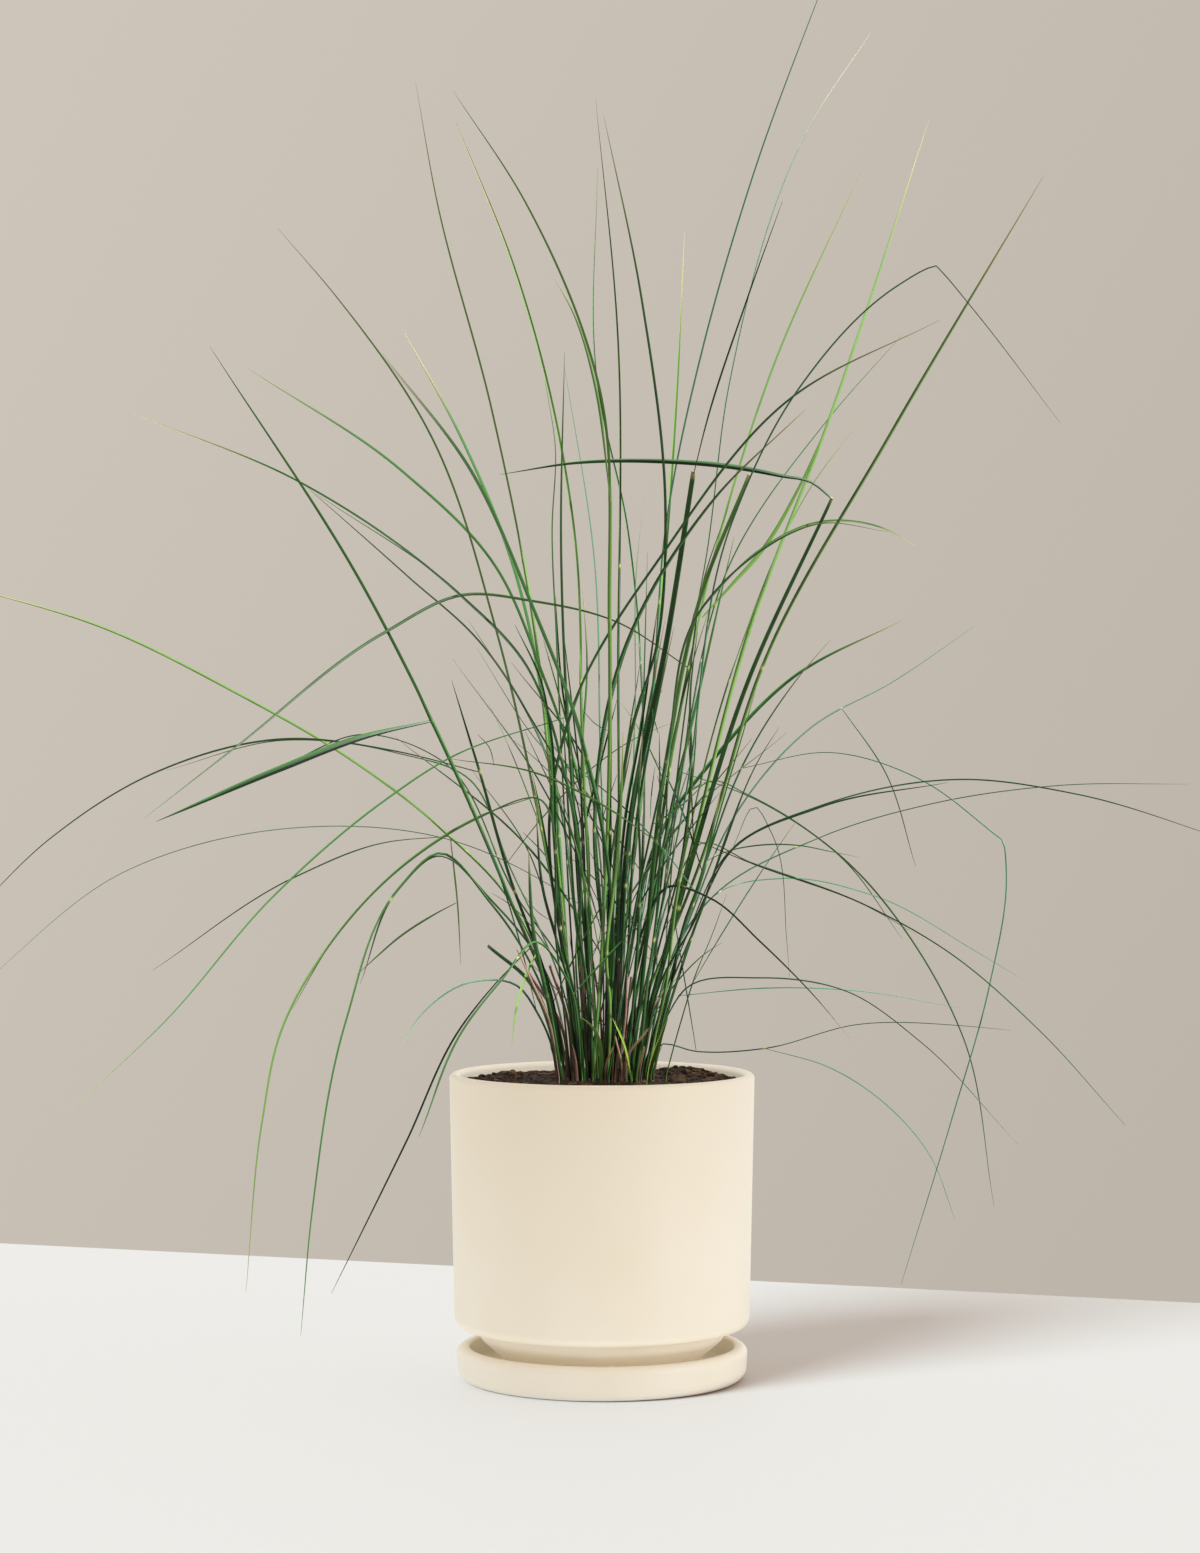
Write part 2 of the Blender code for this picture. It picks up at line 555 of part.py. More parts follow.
def make_shoot(name, strands, material, collection, guides):
    """The stem's tube, with each leaf's tube fused to it."""
    (path, radii), *leaves = strands
    shoot = tube(name, path, radii, material, collection)
    if leaves:
        shoot = as_mesh(shoot, collection)
    for number, (leaf_line, leaf_radii) in enumerate(leaves, start=1):
        leaf = tube(f"{name}_leaf_{number}", leaf_line, leaf_radii, material, guides)
        fuse(shoot, as_mesh(leaf, guides))
    return shoot


def main():
    """Builds every piece; the shoots are numbered from the lowest to the tallest."""
    clear_scene()
    parts = new_collection("potted_muhly_grass")
    guides = new_collection("guides")
    glaze = new_material("cream glazed ceramic", CERAMIC, 0.45)
    turned("pot", pot_profile(), glaze, parts)
    turned("saucer", saucer_profile(), glaze, parts)
    make_soil(new_material("potting soil", SOIL_BROWN, 0.95), parts)
    greens = {name: new_material(f"{name} green grass", colour, 0.5) for name, colour in GREENS.items()}
    stubs = [("brown", depth, thickness, "cut", line, []) for depth, thickness, line in STUBS]
    shoots = sorted(SHOOTS, key=lambda row: max(z for _, z in row[4]))
    grown = grow(stubs + shoots)
    make_crown(grown[:len(STUBS)], new_material("woody crown", CROWN_BROWN, 0.8), parts, guides)
    for number, (shoot, strands) in enumerate(zip(shoots, grown[len(STUBS):]), start=1):
        make_shoot(f"shoot_{number:02d}", strands, greens[shoot[0]], parts, guides)


main()
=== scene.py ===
# %% [markdown]
# # A potted muhly grass
# Muhly grass grows as one dense clump. Each shoot is a round stem wrapped in leaf sheaths, and higher up
# it ends in a folded blade as thin as a wire. This one stands in a cream planter with a matching saucer.
# The solid model holds every piece at its real size. It is loaded first and stays fixed, and each cell
# below gives one part of it the fine shape and the finish of the real one.

# %% Load the solid model
from math import pi, radians

import bpy
import numpy as np
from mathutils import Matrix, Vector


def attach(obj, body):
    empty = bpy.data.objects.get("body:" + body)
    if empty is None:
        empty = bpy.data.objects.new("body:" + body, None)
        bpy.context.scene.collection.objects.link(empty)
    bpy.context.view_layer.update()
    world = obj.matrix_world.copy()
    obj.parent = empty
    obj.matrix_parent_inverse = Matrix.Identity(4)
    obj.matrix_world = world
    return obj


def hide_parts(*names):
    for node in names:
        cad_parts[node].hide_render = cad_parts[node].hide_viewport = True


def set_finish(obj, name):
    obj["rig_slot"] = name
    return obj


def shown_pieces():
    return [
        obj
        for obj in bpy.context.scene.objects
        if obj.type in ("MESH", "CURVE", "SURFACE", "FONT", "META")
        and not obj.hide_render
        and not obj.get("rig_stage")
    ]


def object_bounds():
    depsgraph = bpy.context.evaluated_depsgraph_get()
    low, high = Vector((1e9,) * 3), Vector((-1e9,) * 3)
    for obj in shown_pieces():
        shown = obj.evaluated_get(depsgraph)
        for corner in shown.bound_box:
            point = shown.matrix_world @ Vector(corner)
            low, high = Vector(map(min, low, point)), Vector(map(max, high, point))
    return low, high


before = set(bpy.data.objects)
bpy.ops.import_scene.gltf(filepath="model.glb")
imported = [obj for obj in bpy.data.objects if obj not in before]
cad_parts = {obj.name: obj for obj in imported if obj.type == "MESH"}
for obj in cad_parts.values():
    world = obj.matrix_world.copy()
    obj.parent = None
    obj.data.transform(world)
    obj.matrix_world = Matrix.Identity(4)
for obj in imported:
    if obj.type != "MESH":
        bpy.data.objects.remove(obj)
MM = 0.001
cad_low, cad_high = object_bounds()
print(len(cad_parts), "solids in a box of", [round(side / MM) for side in cad_high - cad_low], "mm")

# %% [markdown]
# ## The viewpoint
# The planter's sides are upright in the picture and its rim is a flat ellipse, so the camera stands level
# and a little above the rim. The rim is 203 mm and 305 pixels across, which sets the lens.

# %% Camera
IMAGE_WIDTH, IMAGE_HEIGHT = 1200, 1553
RIM_WIDTH, RIM_PIXELS = 203.0, 305
POT_AXIS_PIXEL = 602
EYE_DISTANCE = 2300.0
EYE_HEIGHT = 400.0
MM_PER_PIXEL = RIM_WIDTH / RIM_PIXELS

camera_data = bpy.data.cameras.new("camera")
camera_data.lens = camera_data.sensor_width * EYE_DISTANCE / (IMAGE_HEIGHT * MM_PER_PIXEL)
camera = bpy.data.objects.new("camera", camera_data)
camera_x = (IMAGE_WIDTH / 2 - POT_AXIS_PIXEL) * MM_PER_PIXEL
camera.location = (camera_x * MM, -EYE_DISTANCE * MM, EYE_HEIGHT * MM)
camera.rotation_euler = (radians(90), 0, 0)
bpy.context.scene.collection.objects.link(camera)
bpy.context.scene.camera = camera
print("lens", round(camera_data.lens, 1), "mm")

# %% [markdown]
# ## Small helpers for materials
# A material is a tree of nodes on a Principled shader. One function turns a hex colour to the linear
# values that the shader wants, and one adds a node with its settings and links. An input may be a plain
# value or the output of another node.

# %% Colours and nodes
def linear(colour):
    """An sRGB hex colour as linear red, green, blue and alpha."""
    share = np.array([int(colour[i:i + 2], 16) for i in (1, 3, 5)]) / 255
    value = np.where(share <= 0.04045, share / 12.92, ((share + 0.055) / 1.055) ** 2.4)
    return (*value.tolist(), 1.0)


def add_node(tree, kind, inputs, **settings):
    """Adds a node with its settings; each input is a value or the output that is linked to it."""
    node = tree.nodes.new(kind)
    for name, value in settings.items():
        setattr(node, name, value)
    for name, value in inputs.items():
        if isinstance(value, bpy.types.NodeSocket):
            tree.links.new(value, node.inputs[name])
        else:
            node.inputs[name].default_value = value
    return node


def per_metre(size):
    """The scale of a pattern whose real size is given in millimetres."""
    return 1 / (size * MM)


def new_material(name, inputs):
    """A material with one Principled shader; returns it, its tree and the shader."""
    material = bpy.data.materials.new(name)
    material.use_nodes = True
    tree = material.node_tree
    tree.nodes.clear()
    shader = add_node(tree, "ShaderNodeBsdfPrincipled", inputs)
    add_node(tree, "ShaderNodeOutputMaterial", {"Surface": shader.outputs[0]})
    return material, tree, shader


print("cream as linear values:", [round(v, 3) for v in linear("#efe3cb")])

# %% [markdown]
# ## Small helpers for meshes
# Everything here is a closed skin over rings of points: the pot is rings round its axis, a blade is rings
# along its midline. So one function joins rings and closes both ends at a pole, and one joins any number
# of such skins into a piece and lets it ride on the plant's body.

# %% Skins over rings
def skin(rings, first_pole, last_pole, **values):
    """A closed surface over rings of points (ring, column, xyz), with a pole point at each end.

    Columns run counter-clockwise as seen from the last ring back to the first, so that faces point out.
    A value is given for each ring or for each point of the rings, and a pole takes that of its ring.
    """
    count, around, _ = rings.shape
    row = np.arange(count - 1)[:, None] * around
    column = np.arange(around)
    after = np.roll(column, -1)
    last = (count - 1) * around
    quads = np.stack([row + column, row + after, row + around + after, row + around + column], axis=2)
    start = np.stack([np.full(around, count * around), after, column], axis=1)
    end = np.stack([np.full(around, count * around + 1), last + column, last + after], axis=1)
    spread = {}
    for name, value in values.items():
        value = np.asarray(value, float)
        if value.ndim == 1:
            value = np.repeat(value[:, None], around, axis=1)
        flat = value.reshape(count * around, *value.shape[2:])
        spread[name] = np.concatenate([flat, value[0, :1], value[-1, :1]])
    points = np.vstack([rings.reshape(-1, 3), first_pole, last_pole])
    return {"points": points, "quads": quads.reshape(-1, 4), "triangles": np.vstack([start, end]),
            "values": spread}


sample = skin(np.zeros((2, 5, 3)), (0, 0, 0), (0, 0, 0))
print("a skin over 2 rings of 5 points has", len(sample["quads"]) + len(sample["triangles"]), "faces")

# %% Pieces
SHARP_ANGLE = 50.0


def put_piece(name, skins, material, slot, replaced=()):
    """Joins skins into one smooth mesh object at the origin that rides on the plant's body."""
    starts = np.cumsum([0] + [len(s["points"]) for s in skins])
    quads = np.vstack([s["quads"] + start for s, start in zip(skins, starts)])
    triangles = np.vstack([s["triangles"] + start for s, start in zip(skins, starts)])
    mesh = bpy.data.meshes.new(name)
    points = np.vstack([s["points"] for s in skins]) * MM
    mesh.from_pydata(points.tolist(), [], quads.tolist() + triangles.tolist())
    for label in skins[0]["values"]:
        value = np.concatenate([s["values"][label] for s in skins])
        vector = value.ndim == 2
        layer = mesh.attributes.new(label, "FLOAT_VECTOR" if vector else "FLOAT", "POINT")
        layer.data.foreach_set("vector" if vector else "value", value.astype(np.float32).ravel())
    mesh.materials.append(material)
    mesh.shade_smooth()
    mesh.set_sharp_from_angle(angle=radians(SHARP_ANGLE))
    piece = bpy.data.objects.new(name, mesh)
    bpy.context.scene.collection.objects.link(piece)
    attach(piece, "root")
    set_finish(piece, slot)
    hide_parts(*replaced)
    return piece


def triangles_of(piece):
    """A face with n corners counts as n - 2 triangles."""
    return sum(len(face.vertices) - 2 for face in piece.data.polygons)


print("edges sharper than", SHARP_ANGLE, "degrees stay sharp")

# %% [markdown]
# ## Cream satin glaze
# The planter and saucer are slip-cast stoneware under a satin glaze. The glaze scatters light softly, so
# the surface is even, with broad weak reflections. A real one is never quite flat in colour: the molten
# glaze runs down, so it lies thicker and paler towards the foot, and it pools in clouds a few centimetres
# across that are only just warmer. Its skin has a very fine orange peel about 1.5 mm across.

# %% Glaze material
GLAZE_THIN, GLAZE_THICK, GLAZE_WARM = "#ebe1d0", "#f3ecdf", "#ece0c9"
GLAZE_RUN_FROM, GLAZE_RUN_TO = 200.0, 45.0
GLAZE_CLOUD_MM = 60.0
GLAZE_CLOUD_SHARE = 0.35
GLAZE_PEEL_MM, GLAZE_PEEL_DEPTH = 1.5, 0.1

glaze, tree, shader = new_material("satin glazed stoneware", {"Roughness": 0.48, "IOR": 1.5})
place = add_node(tree, "ShaderNodeTexCoord", {}).outputs["Object"]
clouds = add_node(tree, "ShaderNodeTexNoise", {
    "Vector": place, "Scale": per_metre(GLAZE_CLOUD_MM), "Detail": 2.0})
pooled = add_node(tree, "ShaderNodeMapRange", {
    "Value": clouds.outputs[0], "From Min": 0.4, "From Max": 0.75, "To Max": GLAZE_CLOUD_SHARE})
height = add_node(tree, "ShaderNodeSeparateXYZ", {0: place}).outputs["Z"]
run = add_node(tree, "ShaderNodeMapRange", {
    "Value": height, "From Min": GLAZE_RUN_FROM * MM, "From Max": GLAZE_RUN_TO * MM})
layer = add_node(tree, "ShaderNodeMix", {
    0: run.outputs[0], 6: linear(GLAZE_THIN), 7: linear(GLAZE_THICK)}, data_type="RGBA")
cream = add_node(tree, "ShaderNodeMix", {
    0: pooled.outputs[0], 6: layer.outputs[2], 7: linear(GLAZE_WARM)}, data_type="RGBA")
peel = add_node(tree, "ShaderNodeTexNoise", {"Vector": place, "Scale": per_metre(GLAZE_PEEL_MM)})
bump = add_node(tree, "ShaderNodeBump", {
    "Height": peel.outputs[0], "Strength": 0.06, "Distance": GLAZE_PEEL_DEPTH * MM})
tree.links.new(cream.outputs[2], shader.inputs["Base Color"])
tree.links.new(bump.outputs[0], shader.inputs["Normal"])
print(glaze.name, "with clouds of", GLAZE_CLOUD_MM, "mm")

# %% [markdown]
# ## The planter and its saucer
# Both were formed round an axis, so each is one outline turned through a full circle. The outline goes up
# the outside, over the lip and down the inside, and it lists only its corners. A corner's third number
# says how far from it the rounding starts. A Screw modifier could turn the outline too; here the grid of
# points is worked out at once, which also gives the soil its surface.

# %% Turned outlines
TURN_COLUMNS = 256
ARC_POINTS = 8


def rounded(corners):
    """Each (radius, height, rounding) corner becomes an arc that touches both of its sides.

    With ends A and B and the corner P, the arc is the rational curve
    ((1-t)^2 A + 2t(1-t)w P + t^2 B) / ((1-t)^2 + 2t(1-t)w + t^2), a circle when w is the sine of half
    the angle between the sides.
    """
    t = np.linspace(0, 1, ARC_POINTS)[:, None]
    outline = []
    for k, (radius, height, rounding) in enumerate(corners):
        corner = np.array([radius, height])
        if rounding == 0:
            outline.append(corner[None])
            continue
        back = np.array(corners[k - 1][:2]) - corner
        ahead = np.array(corners[k + 1][:2]) - corner
        back, ahead = back / np.linalg.norm(back), ahead / np.linalg.norm(ahead)
        weight = np.sqrt((1 - back @ ahead) / 2)
        start, end = corner + rounding * back, corner + rounding * ahead
        middle = 2 * t * (1 - t) * weight
        arc = ((1 - t) ** 2 * start + middle * corner + t ** 2 * end) / ((1 - t) ** 2 + middle + t ** 2)
        outline.append(arc)
    return np.vstack(outline)


def polar(radius, angle):
    """x = radius cos(angle) and y = radius sin(angle)."""
    return radius * np.cos(angle), radius * np.sin(angle)


def turned(outline, columns=TURN_COLUMNS):
    """Rings of points round the axis, one ring for each (radius, height) of the outline."""
    angle = 2 * pi * np.arange(columns) / columns
    radius, height = outline[:, :1], outline[:, 1:]
    return np.stack([*polar(radius, angle), height + 0 * angle], axis=2)


def put_turned(name, outline, node):
    """The outline without its two points on the axis, turned, with those two points as poles."""
    rings = turned(outline[1:-1])
    poles = [(0, 0, outline[0][1]), (0, 0, outline[-1][1])]
    piece = put_piece(name, [skin(rings, *poles)], glaze, "glaze", [node])
    print(name, triangles_of(piece), "triangles,", round(max(outline[:, 0]) * 2), "mm across")
    return piece


print("a rounded corner has", len(rounded([(0, 0, 0), (9, 0, 1), (9, 9, 0)])[1:-1]), "points")

# %% Planter
# GAP lies between two pieces that rest on each other, and HAIR between the two arcs of the lip.
GAP = 0.3
HAIR = 0.01
POT_HEIGHT, POT_RIM, POT_BODY, POT_WALL, POT_FLAT = 203.0, 101.5, 98.0, 7.0, 30.0
SHOULDER, FOOT_TOP, FOOT_BOTTOM, CONE_TOP = 35.0, 82.0, 58.0, 28.5
SAUCER_FLOOR = 7.2

foot = SAUCER_FLOOR + GAP
cone_run, cone_rise = FOOT_TOP - FOOT_BOTTOM, CONE_TOP - foot
cone_inset = POT_WALL * np.hypot(cone_run, cone_rise) / cone_rise
inner_floor, inner_shoulder = foot + POT_WALL, SHOULDER + POT_WALL
inner_floor_radius = FOOT_BOTTOM + POT_WALL * cone_run / cone_rise - cone_inset
inner_band = FOOT_TOP - POT_WALL
inner_cone_top = foot + (inner_band + cone_inset - FOOT_BOTTOM) * cone_rise / cone_run
lip = POT_WALL / 2 - HAIR
planter = put_turned("cream_planter", rounded([
    (0, foot, 0), (POT_FLAT, foot, 0), (FOOT_BOTTOM, foot, 3), (FOOT_TOP, CONE_TOP, 4),
    (FOOT_TOP, SHOULDER, 1.5), (POT_BODY, SHOULDER, 7), (POT_RIM, POT_HEIGHT, lip),
    (POT_RIM - POT_WALL, POT_HEIGHT, lip), (POT_BODY - POT_WALL, inner_shoulder, 3.5),
    (inner_band, inner_shoulder, 2), (inner_band, inner_cone_top, 3), (inner_floor_radius, inner_floor, 3),
    (POT_FLAT, inner_floor, 0), (0, inner_floor, 0),
]), "pot")

# %% Saucer
SAUCER_RIM, SAUCER_HEIGHT, SAUCER_WALL, SAUCER_FLAT = 97.0, 22.5, 9.0, 40.0

inner_rim = SAUCER_RIM - SAUCER_WALL
saucer = put_turned("cream_saucer", rounded([
    (0, 0, 0), (SAUCER_FLAT, 0, 0), (SAUCER_RIM - 1.5, 0, 8), (SAUCER_RIM, SAUCER_HEIGHT, 5.5),
    (inner_rim, SAUCER_HEIGHT, 2), (inner_rim - 0.5, SAUCER_FLOOR, 3), (SAUCER_FLAT, SAUCER_FLOOR, 0),
    (0, SAUCER_FLOOR, 0),
]), "saucer")

# %% [markdown]
# ## Potting soil
# Potting mix is dark, damp peat with bits of bark. From the side it shows as a thin rough band behind the
# lip. Its surface is a polar grid, raised and sunk by noise of several sizes: lumps of 2 cm down to
# crumbs of 2 mm, and one clod at the right. Loose crumbs are small closed lumps that all share one form,
# and each is turned and stretched at random. Damp peat throws back hardly any gloss, so its material is
# rough. It mixes two browns by a grain of 2 mm, and here and there a flake of 5 mm is paler bark.

# %% Soil surface
SOIL_TOP = 197.0
SOIL_EDGE = 93.5
CROWN_RADIUS, CROWN_TOP = 38.0, 198.5
CLOD_X, CLOD_Y, CLOD_HEIGHT, CLOD_WIDTH = 50.0, 46.0, 5.0, 17.0
RISE_HEIGHT, RISE_WIDTH = 1.5, 9.0
LUMPS = [(1.4, 22.0), (1.1, 8.0), (0.9, 3.4), (0.5, 1.6)]
FOLDED_LUMPS = 2
SOIL_RINGS, SOIL_COLUMNS = 120, 384
LATTICE = 256
rng = np.random.default_rng(4)


def lattice_noise(x, y, cell, seed):
    """Smooth noise from -1 to 1: random heights on a square lattice, eased from one to the next."""
    heights = np.random.default_rng(seed).uniform(-1, 1, (LATTICE, LATTICE))
    column, row = np.floor(x / cell).astype(int), np.floor(y / cell).astype(int)
    u, v = x / cell - column, y / cell - row
    u, v = u * u * (3 - 2 * u), v * v * (3 - 2 * v)
    left, right = column % LATTICE, (column + 1) % LATTICE
    near, far = (heights[line, left] * (1 - u) + heights[line, right] * u
                 for line in (row % LATTICE, (row + 1) % LATTICE))
    return near * (1 - v) + far * v


def soil_height(x, y):
    """Noise of each (height, size) in LUMPS, a clod, and a slight rise towards the crown, above SOIL_TOP.

    One of the noises is folded upwards, which makes round crumbs with sharp gaps.
    """
    noises = [lattice_noise(x, y, size, seed) for seed, (_, size) in enumerate(LUMPS, start=1)]
    noises[FOLDED_LUMPS] = np.abs(noises[FOLDED_LUMPS])
    rough = sum(height * noise for (height, _), noise in zip(LUMPS, noises))
    clod = CLOD_HEIGHT * np.exp(-((x - CLOD_X) ** 2 + (y - CLOD_Y) ** 2) / CLOD_WIDTH ** 2)
    rise = RISE_HEIGHT * np.exp(-((np.hypot(x, y) - CROWN_RADIUS) / RISE_WIDTH) ** 2)
    return SOIL_TOP + rough + clod + rise


floor_height, step_height = inner_floor + GAP, inner_shoulder + GAP
outline = rounded([
    (0, floor_height, 0), (inner_floor_radius - 1, floor_height, 1), (inner_band - 1, inner_cone_top, 1),
    (inner_band - 1, step_height, 1), (POT_BODY - POT_WALL - 1, step_height, 3), (SOIL_EDGE, SOIL_TOP, 0),
])
top = np.linspace(SOIL_EDGE - 0.5, 1, SOIL_RINGS)
rings = turned(np.vstack([outline[1:], np.stack([top, 0 * top], axis=1)]), SOIL_COLUMNS)
open_rings = rings[-len(top):]
open_rings[..., 2] = soil_height(open_rings[..., 0], open_rings[..., 1])
rings[-len(top) - 1, :, 2] = open_rings[0, :, 2]
soil_skin = skin(rings, (0, 0, floor_height), (0, 0, open_rings[-1, 0, 2]))
print("soil grid", rings.shape[:2])

# %% Loose crumbs
CRUMBS = 900
CRUMB_COLUMNS = 7

latitude = np.radians([-45, 0, 45])
lump = turned(np.stack([np.cos(latitude), np.sin(latitude)], axis=1), CRUMB_COLUMNS)
lump *= rng.uniform(0.75, 1.2, lump.shape[:2])[..., None]


def crumbs(count):
    """Copies of one lump, each with its own size, flatness, turn about z and place on the soil."""
    radius = CROWN_RADIUS + (SOIL_EDGE - 3 - CROWN_RADIUS) * np.sqrt(rng.uniform(0, 1, count))
    x, y = polar(radius, rng.uniform(0, 2 * pi, count))
    size = 0.7 + 1.6 * rng.uniform(0, 1, count) ** 3
    stretch = np.stack([size * rng.uniform(0.8, 1.9, count), size, size * rng.uniform(0.4, 0.8, count)], 1)
    spin = rng.uniform(0, 2 * pi, count)
    made = []
    for k in range(count):
        cosine, sine = polar(1, spin[k])
        turn = np.array([[cosine, -sine, 0], [sine, cosine, 0], [0, 0, 1]])
        centre = np.array([x[k], y[k], soil_height(x[k], y[k]) + 0.3 * stretch[k, 2]])
        body = lump * stretch[k] @ turn.T + centre
        pole = np.array([0, 0, stretch[k, 2]])
        made.append(skin(body, centre - pole, centre + pole))
    return made


# %% Soil material
SOIL_DARK, SOIL_MID, SOIL_BARK = "#140b05", "#482c14", "#85623a"
SOIL_GRAIN_MM = 2.2
SOIL_BARK_MM = 5.0
SOIL_BARK_SHARE = 0.65

soil_look, tree, shader = new_material("peat and bark potting mix", {"Roughness": 0.92})
place = add_node(tree, "ShaderNodeTexCoord", {}).outputs["Object"]
grain = add_node(tree, "ShaderNodeTexNoise", {
    "Vector": place, "Scale": per_metre(SOIL_GRAIN_MM), "Detail": 3.0})
flakes = add_node(tree, "ShaderNodeTexVoronoi", {"Vector": place, "Scale": per_metre(SOIL_BARK_MM)})
dark_share = add_node(tree, "ShaderNodeMapRange", {
    "Value": grain.outputs[0], "From Min": 0.36, "From Max": 0.66})
earth = add_node(tree, "ShaderNodeMix", {
    0: dark_share.outputs[0], 6: linear(SOIL_DARK), 7: linear(SOIL_MID)}, data_type="RGBA")
tint = add_node(tree, "ShaderNodeSeparateColor", {0: flakes.outputs["Color"]})
bark = add_node(tree, "ShaderNodeMapRange", {
    "Value": tint.outputs[0], "From Min": 0.7, "From Max": 0.95, "To Max": SOIL_BARK_SHARE})
mixed = add_node(tree, "ShaderNodeMix", {
    0: bark.outputs[0], 6: earth.outputs[2], 7: linear(SOIL_BARK)}, data_type="RGBA")
bump = add_node(tree, "ShaderNodeBump", {
    "Height": grain.outputs[0], "Strength": 0.6, "Distance": 0.8 * MM})
tree.links.new(mixed.outputs[2], shader.inputs["Base Color"])
tree.links.new(bump.outputs[0], shader.inputs["Normal"])
soil = put_piece("potting_soil", [soil_skin] + crumbs(CRUMBS), soil_look, "soil", ["soil"])
print("soil", triangles_of(soil), "triangles with", CRUMBS, "crumbs")

# %% [markdown]
# ## Where strands run
# A strand is any long thin part: stem, blade, stub or straw. Its midline is given as the viewer sees it,
# as (x, z) in the upright plane through the pot's axis, with the depth of its tip. A place at another
# depth is moved along the line of sight, so the strand still shows where it should. A cubic curve runs
# through the points, with slopes from their neighbours.

# %% Midlines
RING_STEP = 6.0
CURVE_POINTS = 600


def in_space(x, z, depth):
    """The place at this depth that the viewer sees at (x, z) of the plane through the pot's axis."""
    scale = 1 + depth / EYE_DISTANCE
    return np.array([x * scale, depth, EYE_HEIGHT + (z - EYE_HEIGHT) * scale])


def distances(path):
    """How far along the path each of its points lies."""
    return np.concatenate([[0], np.cumsum(np.linalg.norm(np.diff(path, axis=0), axis=1))])


def smooth_path(points, step=RING_STEP):
    """Cubic curve through the points, cut into even stretches of about this step."""
    points = np.array(points, float)
    along = distances(points)
    slope = np.gradient(points, along, axis=0)
    fine = np.linspace(0, along[-1], CURVE_POINTS)
    k = np.clip(np.searchsorted(along, fine, side="right") - 1, 0, len(along) - 2)
    gap = (along[k + 1] - along[k])[:, None]
    t = (fine - along[k])[:, None] / gap
    curve = ((1 + 2 * t) * (1 - t) ** 2 * points[k] + t * (1 - t) ** 2 * gap * slope[k]
             + t * t * (3 - 2 * t) * points[k + 1] + t * t * (t - 1) * gap * slope[k + 1])
    length = distances(curve)
    even = np.linspace(0, length[-1], 3 + round(length[-1] / step))
    return np.stack([np.interp(even, length, curve[:, axis]) for axis in range(3)], axis=1)


def shares(line):
    """How far along an (x, z) line each point lies, from 0 to 1."""
    length = distances(np.array(line, float))
    return length / length[-1]


print("a straight strand 300 mm long has", len(smooth_path([(0, 0, 0), (0, 0, 300)])), "rings")

# %% Stems and leaves along their lines
SHOOT_ROOT = CROWN_TOP + GAP
SHOOT_STRAIGHT = 4.0
CLUMP_SPREAD = 0.24
ROOT_DEPTH_SHARE = 0.1
MERGE_HEIGHT = 170.0
STEM_LEAN_POWER, LEAF_LEAN_POWER = 1.5, 1.2


def root_wish(tip_depth, line):
    """Where a shoot would root in an uncrowded clump, which widens evenly from the crown up."""
    x, z = line[0]
    widening = 1 + CLUMP_SPREAD * (z - SHOOT_ROOT) / CROWN_RADIUS
    return x / widening, tip_depth * ROOT_DEPTH_SHARE


def stem_path(spot, tip_depth, line):
    """Straight up from its spot on the crown, then along the line while the depth grows to the tip's.

    Below MERGE_HEIGHT the line is moved sideways by what the spot lies off the shoot's wish. The depth
    grows with a power of the share of length, so that a stem leans more and more.
    """
    foot_point = np.array([spot[0], spot[1], SHOOT_ROOT])
    top_point = foot_point + (0, 0, SHOOT_STRAIGHT)
    aside = spot[0] - root_wish(tip_depth, line)[0]
    line = [(x + aside * max(0, 1 - (z - SHOOT_ROOT) / MERGE_HEIGHT), z) for x, z in line]
    share = shares([(spot[0], SHOOT_ROOT)] + line)[1:]
    points = [in_space(x, z, spot[1] + (tip_depth - spot[1]) * s ** STEM_LEAN_POWER)
              for (x, z), s in zip(line, share)]
    return np.vstack([foot_point, smooth_path([top_point] + points)])


def nearest_on(stem, x, z):
    """Index of the stem's point that the viewer sees nearest to (x, z)."""
    scale = 1 + stem[:, 1] / EYE_DISTANCE
    seen = np.stack([stem[:, 0] / scale, EYE_HEIGHT + (stem[:, 2] - EYE_HEIGHT) / scale], axis=1)
    return int(np.argmin(np.linalg.norm(seen - (x, z), axis=1)))


def leaf_path(stem, tip_depth, line):
    """Leaves the stem where the line starts, and follows the line to the leaf's tip."""
    start = stem[nearest_on(stem, *line[0])]
    points = [in_space(x, z, start[1] + (tip_depth - start[1]) * s ** LEAF_LEAN_POWER)
              for (x, z), s in zip(line[1:], shares(line)[1:])]
    return smooth_path([start] + points)


wish = root_wish(100, [(50, 250)])
print("a shoot seen at (50, 250) wishes to root at", [round(float(value), 1) for value in wish])

# %% [markdown]
# ## The shape of a strand
# Cut across, a stem is nearly round, and a blade is a thin V, folded along its midrib. Both are the same
# formula with other numbers, so a shoot can turn from one to the other along its length. A blade bends
# across its flat side, so its width lies square to the plane in which it bends. Its own lengthwise
# coordinates go with it as an attribute, and the veins in the material follow them. So does the place
# round the section, by which the material can tell one edge and one face from the other.

# %% Directions along a midline
LEAST_BULGE = 0.03


def ease(value, low, high):
    """0 below low, 1 above high, and a smooth step between them."""
    t = np.clip((value - low) / (high - low), 0, 1)
    return t * t * (3 - 2 * t)


def unit(vectors):
    """Each vector divided by its length."""
    return vectors / np.linalg.norm(vectors, axis=-1, keepdims=True)


